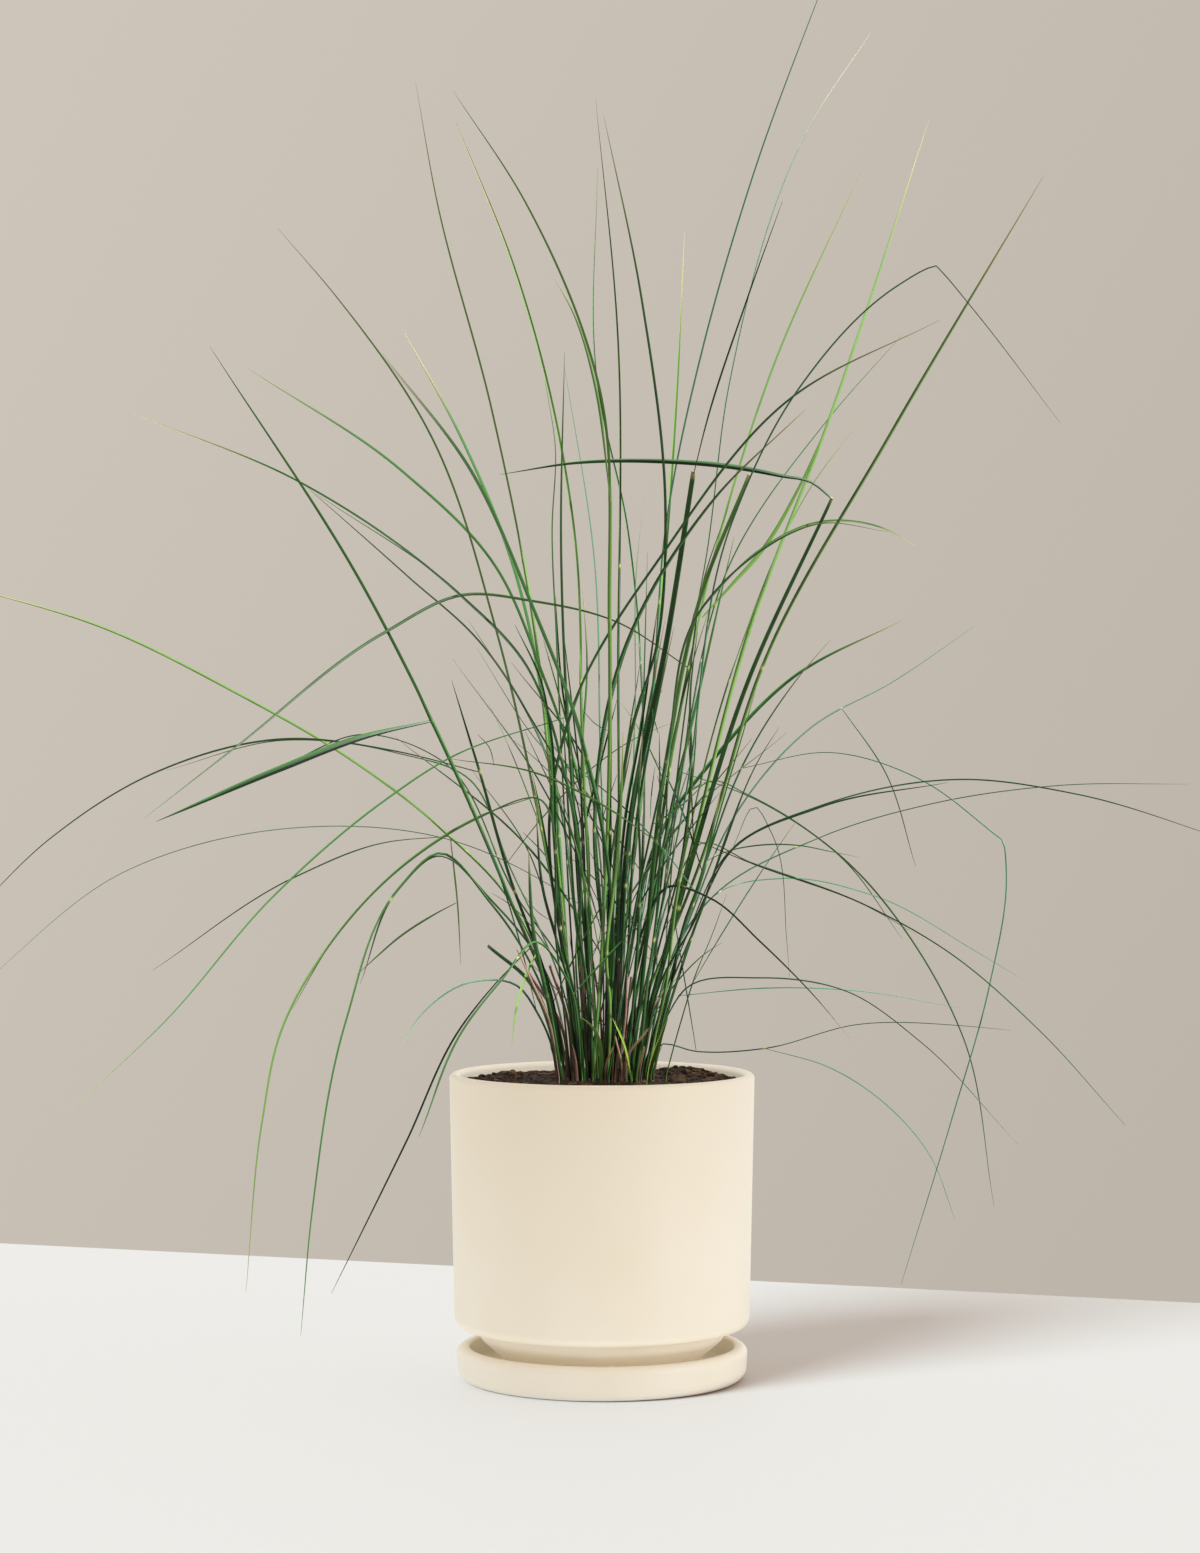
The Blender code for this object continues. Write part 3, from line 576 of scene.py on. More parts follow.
def frames(path, roll):
    """Directions forward, across and up at each point of a path.

    Across is square to the plane in which the path bends, then turned about the path by roll. A path that
    is nearly straight is taken to bulge away from the pot's axis.
    """
    forward = unit(np.gradient(path, axis=0))
    chord = path[-1] - path[0]
    length = np.linalg.norm(chord)
    chord = chord / length
    aside = path - path[0]
    aside = aside - np.outer(aside @ chord, chord)
    bulge = aside[np.argmax(np.linalg.norm(aside, axis=1))]
    if np.linalg.norm(bulge) < LEAST_BULGE * length:
        middle = path[len(path) // 2]
        bulge = np.array([middle[0], middle[1] - 1, 0])
    side = unit(np.cross(bulge, chord))
    across = unit(side - (forward @ side)[:, None] * forward)
    up = np.cross(forward, across)
    roll = roll[:, None]
    across = np.cos(roll) * across + np.sin(roll) * up
    return forward, across, np.cross(forward, across)


print("halfway between its limits ease gives", ease(5, 0, 10))

# %% Sections along a midline
AROUND = 12


def strand(path, half_width, half_depth, fold, roll, offset, **values):
    """A closed tube whose section changes along the path.

    At angle t round the section a point lies half_width cos t across, and
    half_depth sin t + fold half_width (|cos t| - 1/2) up. Fold 0 is an oval stem, near 1 a V-shaped blade.
    """
    count = len(path)
    half_width, half_depth, fold, roll = (np.broadcast_to(np.asarray(v, float), count)
                                          for v in (half_width, half_depth, fold, roll))
    forward, across, up = frames(path, roll)
    turn = 2 * pi * np.arange(AROUND) / AROUND
    a = half_width[:, None] * np.cos(turn)
    b = (half_depth[:, None] * np.sin(turn)
         + (fold * half_width)[:, None] * (np.abs(np.cos(turn)) - 0.5))
    rings = path[:, None] + a[..., None] * across[:, None] + b[..., None] * up[:, None]
    along = np.broadcast_to((distances(path) + offset)[:, None], a.shape)
    fibre = np.stack([a, b, along], axis=2) * MM
    section = np.broadcast_to(np.stack([np.cos(turn), np.sin(turn), 0 * turn], axis=1), fibre.shape)
    values = {name: np.broadcast_to(np.asarray(value, float), count) for name, value in values.items()}
    return skin(rings, path[0], path[-1], fibre=fibre, section=section, **values)


print("a section has", AROUND, "points")

# %% [markdown]
# ## Stems that become blades, and side leaves
# From its root up to the collar a shoot is a sheathed stem. At the collar, a short pale-yellow joint, the
# sheath opens and the blade goes on alone, folded and ever finer up to a tip like a hair. A side leaf
# starts inside such a sheath and bends away from the stem. A shoot that was cut ends bluntly in a half
# open blade, which shows its broad side. Low down, where the clump's shade falls, a shoot's green is
# darkened as painted shade, and high up, where more light reaches it, it is lightened as painted light.

# %% Joints and added rings
COLLAR_LENGTH, COLLAR_REACH = 1.3, 1.6
LEAST_RING_GAP = 0.3


def near_any(along, places, width):
    """A bell curve round each of the places: 1 there, and 0 from about twice the width on."""
    return sum((np.exp(-((along - place) / width) ** 2) for place in places), np.zeros(len(along)))


def with_rings_at(path, places, reach):
    """The path with more points at each place and at this reach on both sides of it."""
    along = distances(path)
    extra = np.concatenate([np.asarray(places) + shift for shift in (-reach, 0, reach)])
    extra = [value for value in extra
             if 0 < value < along[-1] and np.abs(along - value).min() > LEAST_RING_GAP]
    finer = np.sort(np.concatenate([along, extra]))
    return np.stack([np.interp(finer, along, path[:, axis]) for axis in range(3)], axis=1)


print("a joint is", round(4 * COLLAR_LENGTH, 1), "mm long from end to end")

# %% Shoot surface
FINEST = 0.1
FOLD = 0.9
OPENS_WITHIN = 25.0
SHEATHED_FROM, SHEATHED_TO, BLADE_SHARE = 90.0, 260.0, 1.2
CUT_SHARE, CUT_OPENING, CUT_TURN = 1.35, 0.35, 70.0
STEM_DEPTH, FLATTENING, JOINT_SWELL = 0.85, 0.7, 0.15
# near the root a sheath darkens: the old sheath's red-brown, and painted shade near the crown
AGE_AND_SHADE_FROM, AGE_AND_SHADE_TO = 10.0, 70.0
FIBRE_START = 4000.0
# painted shade lowers a shoot's tone near its root, painted light raises it high up
LOW_SHADE, SHADED_FROM, SHADED_TO = 0.65, 60.0, 260.0
HIGH_LIGHT, LIT_FROM, LIT_TO = 0.3, 350.0, 600.0


def shoot_surface(path, thickness, end, collars, hue, dry_tip):
    """A round sheathed stem up to its last collar, then a folded blade that runs out fine.

    Towards a tip the half width falls as 1 minus the sixth power of the share of length, and towards a cut
    as 1 minus 0.3 times its third power. Every strand starts elsewhere along the fibres, so that no two
    have the same veins.
    """
    path = with_rings_at(path, collars, COLLAR_REACH * COLLAR_LENGTH)
    along = distances(path)
    share = along / along[-1]
    opened = ease(along, collars[-1], collars[-1] + OPENS_WITHIN) * (CUT_OPENING if end == "cut" else 1)
    slim = 1 - (1 - BLADE_SHARE) * ease(along, SHEATHED_FROM, SHEATHED_TO)
    shrink = slim * (1 - share ** 6) if end == "tip" else CUT_SHARE * (1 - 0.3 * share ** 3)
    joint = near_any(along, collars, COLLAR_LENGTH)
    half_width = (thickness / 2 * shrink + FINEST) * (1 + JOINT_SWELL * joint)
    half_depth = half_width * (STEM_DEPTH - FLATTENING * opened)
    roll = radians(rng.normal(0, 30)) + radians(rng.uniform(-70, 70)) * share
    roll = roll + radians(CUT_TURN if end == "cut" else 0)
    dryness = dry_tip * ease(share, 0.82 if end == "tip" else 0.985, 1.0)
    # dark red-brown near the root: partly the old sheath's own colour, partly painted shade near the crown
    age = rng.uniform(0.0, 0.8) * (1 - ease(along, AGE_AND_SHADE_FROM, AGE_AND_SHADE_TO))
    # painted shade low in the clump and painted light high up, added to the shoot's tone
    hue = (hue - rng.uniform(0, LOW_SHADE) * (1 - ease(along, SHADED_FROM, SHADED_TO))
           + HIGH_LIGHT * ease(along, LIT_FROM, LIT_TO))
    return strand(path, half_width, half_depth, FOLD * opened, roll, rng.uniform(0, FIBRE_START),
                  collar=np.minimum(joint, 1) * rng.uniform(0, 0.7), dryness=dryness, age=age, hue=hue)


print("a blade's finest half width is", FINEST, "mm")

# %% Leaf surface
LEAF_START, LEAF_FULL_AT = 0.35, 0.35


def leaf_surface(path, thickness, hue, dry_tip, turn=0):
    """A folded blade, narrow where it leaves the sheath, full soon after, and running out fine.

    The half width eases from LEAF_START to its full size, and falls as 1 minus the third power of the
    share of length.
    """
    path = with_rings_at(path, [0], COLLAR_REACH * COLLAR_LENGTH)
    along = distances(path)
    share = along / along[-1]
    grown = LEAF_START + (1 - LEAF_START) * ease(share, 0, LEAF_FULL_AT)
    half_width = thickness / 2 * grown * (1 - share ** 3) + FINEST
    roll = radians(turn + rng.normal(0, 25)) + radians(rng.uniform(-60, 60)) * share
    dryness = dry_tip * ease(share, 0.8, 1.0)
    return strand(path, half_width, 0.16 * half_width + 0.05, FOLD, roll, rng.uniform(0, FIBRE_START),
                  collar=0.5 * near_any(along, [0], COLLAR_LENGTH), dryness=dryness, age=0, hue=hue)


print("a leaf starts with", LEAF_START, "of its full width")

# %% [markdown]
# ## Living grass
# A grass blade has a waxy skin over long parallel veins about 0.4 mm apart, which show as fine light and
# dark lines. The wax gives it a soft, weak shine. It is folded, and the fold's light and shade are painted
# into its colour: one thin margin is painted pale for light that comes through it, the other margin is
# painted dark for the fold's shade, and the inner face is painted a little darker for the shade inside the
# fold. Young blades are yellower and old ones deeper or bluer, joints are pale yellow, and a drying tip
# turns to straw. Near the root a sheath is streaked dark red-brown, which is partly the old sheath's own
# colour and partly painted shade near the crown. One function makes all five greens. It reads the
# strand's own coordinates, so the veins run along every blade. At the picture's scale a vein is thinner
# than a pixel, so it is drawn about twice as wide as the real one.

# %% Grass material
VEIN_MM = 0.8
VEIN_LENGTH_MM = 90.0
BLOTCH_MM = 35.0
# the last brown is the old sheath's dark red-brown near the root, and also painted shade near the crown
COLLAR_YELLOW, STRAW, OLD_BROWN_AND_SHADE = "#a3a568", "#968763", "#1c0e0a"


def grass_material(name, dark, light):
    """A waxy folded blade. Its tone from dark to light is its own hue plus a share for each feature.

    The hue of a shoot carries painted shade low down and painted light high up, and the fold's features
    are its painted light and shade.
    """
    material, tree, shader = new_material(name, {"Roughness": 0.45, "Specular IOR Level": 0.15})
    own = {label: add_node(tree, "ShaderNodeAttribute", {}, attribute_name=label).outputs
           for label in ("fibre", "section", "hue", "collar", "dryness", "age")}
    section = add_node(tree, "ShaderNodeSeparateXYZ", {0: own["section"]["Vector"]}).outputs
    lines = add_node(tree, "ShaderNodeMapping", {
        "Vector": own["fibre"]["Vector"],
        "Scale": (per_metre(VEIN_MM), per_metre(VEIN_MM), per_metre(VEIN_LENGTH_MM))})
    veins = add_node(tree, "ShaderNodeTexNoise", {"Vector": lines.outputs[0], "Scale": 1.0, "Detail": 2.0})
    spots = add_node(tree, "ShaderNodeTexNoise", {
        "Vector": own["fibre"]["Vector"], "Scale": per_metre(BLOTCH_MM)})
    mottle = add_node(tree, "ShaderNodeMath", {0: veins.outputs[0], 1: spots.outputs[0]})
    tone = own["hue"]["Fac"]
    # veins and blotches, then painted shade inside the fold and on one margin, painted light on the other
    for value, low, high, to_low, to_high in (
            (mottle.outputs[0], 0.75, 1.3, -0.3, 0.3), (section["Y"], -0.3, 0.4, 0.05, -0.2),
            (section["X"], -0.9, 0.0, -0.4, 0.0), (section["X"], 0.2, 0.85, 0.0, 0.6)):
        shade = add_node(tree, "ShaderNodeMapRange", {
            "Value": value, "From Min": low, "From Max": high, "To Min": to_low, "To Max": to_high})
        tone = add_node(tree, "ShaderNodeMath", {0: tone, 1: shade.outputs[0]}, use_clamp=True).outputs[0]
    colour = add_node(tree, "ShaderNodeMix", {0: tone, 6: linear(dark), 7: linear(light)},
                      data_type="RGBA").outputs[2]
    streaks = add_node(tree, "ShaderNodeMapRange", {
        "Value": veins.outputs[0], "From Min": 0.36, "From Max": 0.56})
    # dark streaks near the root: old sheath colour, and painted shade near the crown
    age_and_shade_streaks = add_node(tree, "ShaderNodeMath", {0: own["age"]["Fac"], 1: streaks.outputs[0]},
                   operation="MULTIPLY")
    for share, over in ((own["collar"]["Fac"], COLLAR_YELLOW), (own["dryness"]["Fac"], STRAW),
                        (age_and_shade_streaks.outputs[0], OLD_BROWN_AND_SHADE)):
        colour = add_node(tree, "ShaderNodeMix", {0: share, 6: colour, 7: linear(over)},
                          data_type="RGBA").outputs[2]
    bump = add_node(tree, "ShaderNodeBump", {
        "Height": veins.outputs[0], "Strength": 0.35, "Distance": 0.1 * MM})
    tree.links.new(colour, shader.inputs["Base Color"])
    tree.links.new(bump.outputs[0], shader.inputs["Normal"])
    return material


GRASS = {
    "deep": grass_material("deep green grass blade", "#0c220c", "#2a4a22"),
    "mid": grass_material("green grass blade", "#0e250c", "#2e5426"),
    "light": grass_material("yellow green grass blade", "#173410", "#507032"),
    "blue": grass_material("blue green grass blade", "#112d1b", "#396044"),
    "young": grass_material("young yellow green grass blade", "#3a5516", "#96ad48"),
}
print(len(GRASS), "greens")

# %% [markdown]
# ## The fifty-six main shoots
# These are the rows that the solid model was grown from, apart from a few thicknesses. Each shoot has its
# green, the depth of its tip, its thickness, how it ends, its midline and its side leaves. The solid model
# gave every shoot a free place on the crown and may have leaned it nearer or farther, so both are read
# back from its solid: the foot is the middle of its lowest corners, and the lean is the one that ends
# nearest to a corner. A real sheath is slimmer than the solid, so each width is a share of the row's, and
# less again where a shoot leans far out. A side leaf that stands out by its looks is found by its first
# point, and has a width, a green and a turn of its own.

# %% Rows of the main shoots
SHOOTS = [
    # green, depth of the tip, thickness, how it ends, midline, (depth, thickness, line) of side leaves
    ("light", -230, 3.4, "tip", [(4, 265), (5, 504), (-2, 659), (-51, 782), (-99, 856)],
     [(-290, 2.2, [(3, 584), (-4, 657), (-19, 708), (-33, 734)])]),
    ("light", 280, 2.6, "tip", [(12, 258), (11, 491), (11, 690), (-4, 851)], []),
    ("deep", -170, 2.8, "tip", [(7, 305), (19, 428), (37, 491), (42, 570), (26, 718), (1, 840)], []),
    ("mid", 330, 2.4, "tip", [(24, 291), (27, 451), (17, 565), (-3, 661), (-3, 806)], []),
    ("mid", -120, 2.6, "tip", [(-11, 265), (-23, 443), (-27, 553), (-25, 683)],
     [(-230, 2.2, [(-23, 439), (-100, 413), (-146, 383), (-218, 321), (-291, 237), (-356, 176)])]),
    ("light", 210, 2.6, "tip", [(17, 278), (33, 448), (49, 643), (55, 762)], []),
    ("blue", -70, 3.2, "tip", [(19, 251), (32, 438), (44, 575), (68, 688), (100, 798), (157, 953)], []),
    ("blue", 300, 3.0, "tip", [(32, 258), (49, 443), (69, 543), (85, 662), (138, 832), (179, 895)], []),
    ("deep", -60, 4.4, "cut", [(13, 258), (20, 377), (42, 484), (61, 603)],
     [(-150, 1.8, [(60, 595), (69, 633), (95, 713), (120, 783)])]),
    ("light", 70, 3.0, "tip", [(35, 278), (48, 423), (75, 548), (112, 667), (173, 804)],
     [(-190, 2.4, [(58, 474), (12, 502), (-47, 517), (-91, 521), (-144, 496), (-243, 420),
                   (-305, 372)])]),
    ("light", 130, 3.2, "tip", [(35, 231), (59, 344), (96, 491), (150, 635), (218, 838)], []),
    ("light", -160, 3.2, "tip", [(42, 245), (69, 344), (108, 476), (191, 626), (294, 800)], []),
    ("blue", -260, 3.8, "tip", [(33, 251), (55, 384), (87, 570), (131, 658), (199, 728), (219, 739),
                                (222, 740), (224, 738), (246, 712), (305, 635)], []),
    ("mid", 340, 2.8, "tip", [(29, 245), (47, 371), (87, 545), (150, 637), (200, 694)], []),
    ("deep", -20, 3.4, "cut", [(39, 238), (60, 338), (96, 460), (153, 585)],
     [(-90, 2.6, [(151, 588), (139, 596), (120, 600), (95, 605), (40, 610), (-17, 609), (-68, 601)])]),
    ("light", -110, 3.2, "cut", [(25, 245), (43, 412), (67, 524), (98, 601)],
     [(60, 3.2, [(63, 507), (100, 547), (144, 569), (190, 564), (209, 553)]),
      (-150, 2.2, [(37, 360), (2, 380), (-43, 402), (-102, 412)])]),
    ("light", -110, 3.0, "tip", [(-29, 285), (-45, 388), (-70, 496), (-116, 631), (-175, 717),
                                 (-216, 765)],
     [(-60, 2.8, [(-45, 388), (-83, 373), (-126, 346), (-176, 295), (-214, 229), (-226, 171),
                  (-237, 57)])]),
    ("mid", -230, 3.0, "tip", [(11, 285), (-13, 423), (-47, 514), (-87, 603), (-146, 681)], []),
    ("mid", 200, 3.4, "tip", [(-20, 251), (-34, 411), (-59, 539), (-95, 628), (-133, 698)], []),
    ("mid", 70, 3.0, "tip", [(-7, 265), (-14, 391), (-39, 466), (-72, 541), (-133, 603),
                             (-236, 672)], []),
    ("mid", -130, 3.4, "tip", [(-25, 236), (-59, 318), (-110, 430), (-159, 526), (-261, 686)],
     [(-190, 3.0, [(-113, 437), (-156, 427), (-212, 406), (-297, 370)]),
      (60, 2.4, [(-43, 285), (-70, 263), (-93, 234), (-130, 157), (-180, 56)])]),
    ("mid", -40, 3.0, "tip", [(-11, 265), (-23, 394), (-52, 476), (-95, 521), (-200, 595),
                              (-313, 642)], []),
    ("mid", 240, 2.6, "tip", [(-18, 298), (-37, 414), (-80, 488), (-130, 534), (-199, 595)], []),
    ("light", 140, 3.0, "tip", [(-31, 238), (-62, 318), (-108, 366), (-164, 409), (-248, 458),
                                (-327, 497), (-431, 529)],
     [(200, 2.2, [(-101, 361), (-144, 356), (-202, 334), (-299, 271)])]),
    ("mid", -10, 2.6, "tip", [(-33, 251), (-63, 338), (-82, 405), (-100, 464)],
     [(110, 2.6, [(-82, 405), (-138, 417), (-212, 425), (-299, 402), (-367, 359), (-426, 301)])]),
    ("mid", -100, 2.0, "tip", [(-38, 245), (-75, 315), (-110, 349), (-136, 326), (-174, 237), (-200, 110),
                               (-210, 28)], []),
    ("blue", -60, 3.6, "tip", [(-31, 221), (-41, 243), (-55, 261), (-85, 263), (-120, 239),
                               (-134, 215)], []),
    ("deep", 60, 4.0, "cut", [(-33, 231), (-45, 260), (-75, 287)], []),
    ("blue", 90, 3.4, "tip", [(39, 245), (49, 285), (73, 319), (144, 359), (220, 382), (304, 394),
                              (391, 395)], []),
    ("blue", -130, 2.6, "tip", [(41, 238), (59, 294), (88, 353), (144, 380), (238, 398), (317, 388),
                                (422, 356)],
     [(-60, 2.0, [(86, 352), (102, 380), (113, 362), (123, 290), (125, 265)]),
      (-170, 2.2, [(50, 267), (31, 279), (-27, 323), (-95, 356), (-202, 366), (-317, 337),
                   (-421, 255)])]),
    ("blue", 190, 2.8, "tip", [(44, 251), (62, 305), (84, 366), (141, 434), (192, 462), (248, 500)],
     [(230, 2.0, [(160, 445), (187, 406), (209, 340)])]),
    ("blue", -60, 3.0, "tip", [(41, 245), (70, 344), (93, 406), (134, 470), (152, 491)],
     [(-150, 2.8, [(94, 408), (152, 416), (212, 398), (262, 361), (267, 357), (268, 351), (269, 334),
                   (258, 262), (233, 173), (199, 62)])]),
    ("mid", 30, 3.0, "tip", [(27, 245), (47, 382), (60, 438), (75, 504), (88, 560)],
     [(130, 2.6, [(51, 402), (95, 388), (162, 344), (210, 285), (240, 227), (261, 114)])]),
    ("deep", 50, 3.6, "tip", [(35, 245), (52, 331), (59, 397), (59, 460), (64, 500)],
     [(-180, 2.6, [(56, 359), (100, 342), (172, 316), (228, 285), (291, 231), (348, 168)])]),
    ("blue", 270, 2.6, "tip", [(44, 251), (55, 288), (80, 323), (121, 332), (182, 321), (254, 283),
                               (285, 265)], []),
    ("deep", -100, 2.3, "tip", [(19, 231), (26, 298), (44, 327), (71, 319), (104, 290), (141, 252),
                                (164, 224)], []),
    ("blue", -40, 2.6, "tip", [(40, 221), (65, 217), (110, 219), (172, 235), (243, 234), (274, 231)],
     [(-70, 2.0, [(110, 219), (152, 206), (185, 185), (218, 148), (235, 105)])]),
    ("blue", -90, 2.8, "tip", [(36, 214), (47, 238), (60, 259), (108, 266), (167, 257), (218, 223),
                               (285, 155)],
     [(50, 2.0, [(54, 249), (106, 259), (172, 257), (238, 246)])]),
    ("mid", 150, 3.0, "tip", [(20, 278), (39, 362), (73, 410), (126, 465), (200, 504)], []),
    ("blue", 60, 2.4, "tip", [(3, 265), (-1, 412), (-5, 543), (-25, 673)], []),
    ("mid", -180, 2.6, "tip", [(-27, 265), (-34, 384), (-19, 447), (42, 550), (125, 651),
                               (225, 704)], []),
    ("mid", -130, 2.6, "tip", [(0, 265), (-5, 372), (13, 479), (75, 585), (135, 644)], []),
    ("light", 150, 3.0, "tip", [(-28, 331), (-48, 519), (-73, 643), (-110, 784), (-124, 862)], []),
    ("light", -90, 2.4, "tip", [(-8, 265), (-13, 424), (-19, 565), (-58, 737), (-98, 837)], []),
    ("mid", 340, 2.6, "tip", [(-25, 262), (-59, 320), (-106, 410), (-156, 428), (-212, 407),
                              (-250, 390)], []),
    ("mid", 350, 2.6, "tip", [(35, 262), (53, 335), (66, 355), (100, 343), (172, 317), (228, 286)], []),
    ("deep", 320, 2.6, "tip", [(27, 262), (45, 350), (58, 390), (76, 397), (95, 389), (162, 345),
                               (205, 292)], []),
    ("mid", 330, 2.6, "tip", [(-33, 262), (-63, 340), (-88, 398), (-138, 416), (-212, 424),
                              (-290, 404)], []),
    ("deep", 300, 2.6, "tip", [(-38, 262), (-75, 317), (-110, 347), (-136, 326), (-165, 262)], []),
    ("mid", 345, 2.6, "tip", [(4, 300), (-14, 423), (-47, 513), (-87, 602), (-146, 680)], []),
    ("mid", 335, 2.6, "tip", [(0, 300), (-4, 372), (14, 478), (74, 583), (130, 640)], []),
    ("mid", -340, 2.6, "tip", [(24, 300), (43, 412), (62, 505), (100, 546), (144, 568), (190, 563)], []),
    ("mid", -330, 2.6, "tip", [(-11, 300), (-23, 396), (-52, 477), (-95, 522), (-190, 588)], []),
    ("deep", -320, 2.6, "tip", [(-29, 285), (-46, 386), (-83, 372), (-126, 345), (-176, 294),
                                (-205, 245)], []),
    ("deep", -300, 2.6, "tip", [(41, 262), (60, 298), (88, 352), (144, 379), (230, 396)], []),
    ("mid", -310, 2.6, "tip", [(-25, 262), (-46, 290), (-70, 264), (-93, 236), (-128, 160)], []),
]
print(len(SHOOTS), "shoots with", sum(len(row[5]) for row in SHOOTS), "side leaves")

# %% Looks of some side leaves
LEAF_LOOKS = {
    # first point: share of the row's width, hue, turn in degrees
    (-113, 437): (1.7, 0.1, 0),
    (151, 588): (1.3, 0.3, 75),
    (56, 359): (0.55, 1.0, 0),
    (58, 474): (1.25, 0.3, 0),
    (37, 360): (0.9, 0.0, 0),
    (110, 219): (0.95, 1.0, 0),
    (54, 249): (0.95, 0.9, 0),
    (160, 445): (1.4, 0.3, 0),
    (51, 402): (0.55, 0.8, 0),
}
print(len(LEAF_LOOKS), "side leaves have looks of their own")

# %% Stems read back from their solids
SHIFTS = range(-120, 121, 8)
FOOT_LAYER = 0.5


def corners_of(node):
    """The corners of a node's solid, in millimetres."""
    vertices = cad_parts[node].data.vertices
    flat = np.empty(len(vertices) * 3, np.float32)
    vertices.foreach_get("co", flat)
    return flat.reshape(-1, 3) / MM


def placed_stem(corners, tip_depth, line):
    """The stem from the solid's own foot, and the lean in depth that ends nearest to the solid."""
    on_crown = np.hypot(corners[:, 0], corners[:, 1]) < CROWN_RADIUS
    spot = corners[on_crown & (np.abs(corners[:, 2] - SHOOT_ROOT) < FOOT_LAYER)].mean(axis=0)[:2]
    stems = [stem_path(spot, tip_depth + shift, line) for shift in SHIFTS]
    misses = [np.linalg.norm(corners - stem[-1], axis=1).min() for stem in stems]
    best = int(np.argmin(misses))
    return stems[best], SHIFTS[best], misses[best]


print("leans tried for each shoot:", len(SHIFTS))

# %% Loose leaves
LOOSE_LEAF_LOW, LOOSE_LEAF_HIGH, LOOSE_LEAF_REACH = 235, 470, 75


def direction(lean, heading):
    """A unit vector that leans from upright by one angle, towards the heading given by the other."""
    return np.array([*polar(np.sin(lean), heading), np.cos(lean)])


def loose_leaf(stem, hue):
    """A short fine leaf that leaves the stem low down and bends a little way out of the clump."""
    near_axis = np.hypot(stem[:, 0], stem[:, 1]) < LOOSE_LEAF_REACH
    near_axis &= (stem[:, 2] > LOOSE_LEAF_LOW) & (stem[:, 2] < LOOSE_LEAF_HIGH)
    start = stem[rng.choice(np.flatnonzero(near_axis)) if near_axis.any() else len(stem) // 5]
    heading = rng.uniform(0, 2 * pi)
    lean = radians(rng.uniform(12, 42))
    length = rng.uniform(60, 190)
    t = np.linspace(0, 1, 6)[:, None]
    points = start + length * t * direction(lean, heading)
    points[:, 2:] -= length * rng.uniform(0.0, 0.35) * t ** 2
    return leaf_surface(smooth_path(points), rng.uniform(0.9, 1.6), hue, rng.uniform(0, 0.5))


print("loose leaves start from", LOOSE_LEAF_LOW, "to", LOOSE_LEAF_HIGH, "mm up")

# %% Main shoots
SLIMNESS = {"deep": 1.0, "mid": 1.0, "light": 0.95, "blue": 0.5}
SHEATH_SHARE = 0.71
OUTER_FROM, OUTER_TO, OUTER_SHARE = 230, 340, 0.6
WIDE_FROM, WIDE_TO, WIDE_SHARE = 180, 380, 0.75
HUE_FROM, HUE_TO = 0.35, 0.9
CUT_LIFT, BLUE_LIFT = 0.2, 0.25
LEAF_SHARE, LEAF_HUE_FROM, LEAF_HUE_TO = 0.8, 0.3, 0.7
LAST_COLLAR = 0.8

worst = 0.0
for number, row in enumerate(sorted(SHOOTS, key=lambda row: max(z for _, z in row[4])), start=1):
    green, tip_depth, thickness, end, line, leaves = row
    node = f"shoot_{number:02d}"
    stem, shift, miss = placed_stem(corners_of(node), tip_depth, line)
    worst = max(worst, miss)
    stem_length = distances(stem)
    collars = [stem_length[nearest_on(stem, *leaf[2][0])] for leaf in leaves]
    collars.append(rng.uniform(0.28, 0.5) * stem_length[-1])
    highest = LAST_COLLAR * stem_length[-1]
    collars = [place for place in sorted(collars) if place < highest] or [stem_length[-1] / 2]
    hue = rng.uniform(HUE_FROM, HUE_TO)
    slim = SLIMNESS[green] * (1 - (1 - OUTER_SHARE) * ease(abs(tip_depth), OUTER_FROM, OUTER_TO))
    slim *= 1 - (1 - WIDE_SHARE) * ease(abs(line[-1][0]), WIDE_FROM, WIDE_TO)
    hue += (CUT_LIFT if end == "cut" else 0) + (BLUE_LIFT if green == "blue" else 0)
    dry_tip = rng.choice([0, 0.3, 0.8])
    skins = [shoot_surface(stem, thickness * slim * SHEATH_SHARE, end, collars, hue, dry_tip)]
    for leaf_depth, leaf_thickness, leaf_line in leaves:
        path = leaf_path(stem, leaf_depth + shift, leaf_line)
        plain = (LEAF_SHARE, rng.uniform(LEAF_HUE_FROM, LEAF_HUE_TO), 0)
        wider, leaf_hue, turn = LEAF_LOOKS.get(leaf_line[0], plain)
        leaf_dry = 0 if leaf_line[0] in LEAF_LOOKS else rng.choice([0, 0.3, 0.7])
        skins.append(leaf_surface(path, leaf_thickness * slim * wider, leaf_hue, leaf_dry, turn))
    skins += [loose_leaf(stem, hue) for _ in range(rng.integers(0, 2))]
    put_piece(f"grass_shoot_{number:02d}", skins, GRASS[green], "grass_" + green, [node])
print("farthest tip from its solid:", round(worst, 2), "mm")

# %% [markdown]
# ## Finer shoots between them
# A clump has far more shoots than the fifty-six that carry its outline. These rows are the thinner ones,
# the leaves that bend between them and the short pale ones at the foot. Some more are placed at random:
# fillers that stand up, blades that cross the clump, and hairs from torn sheaths. All of them stand on
# the same crown, and each green is joined into one piece.

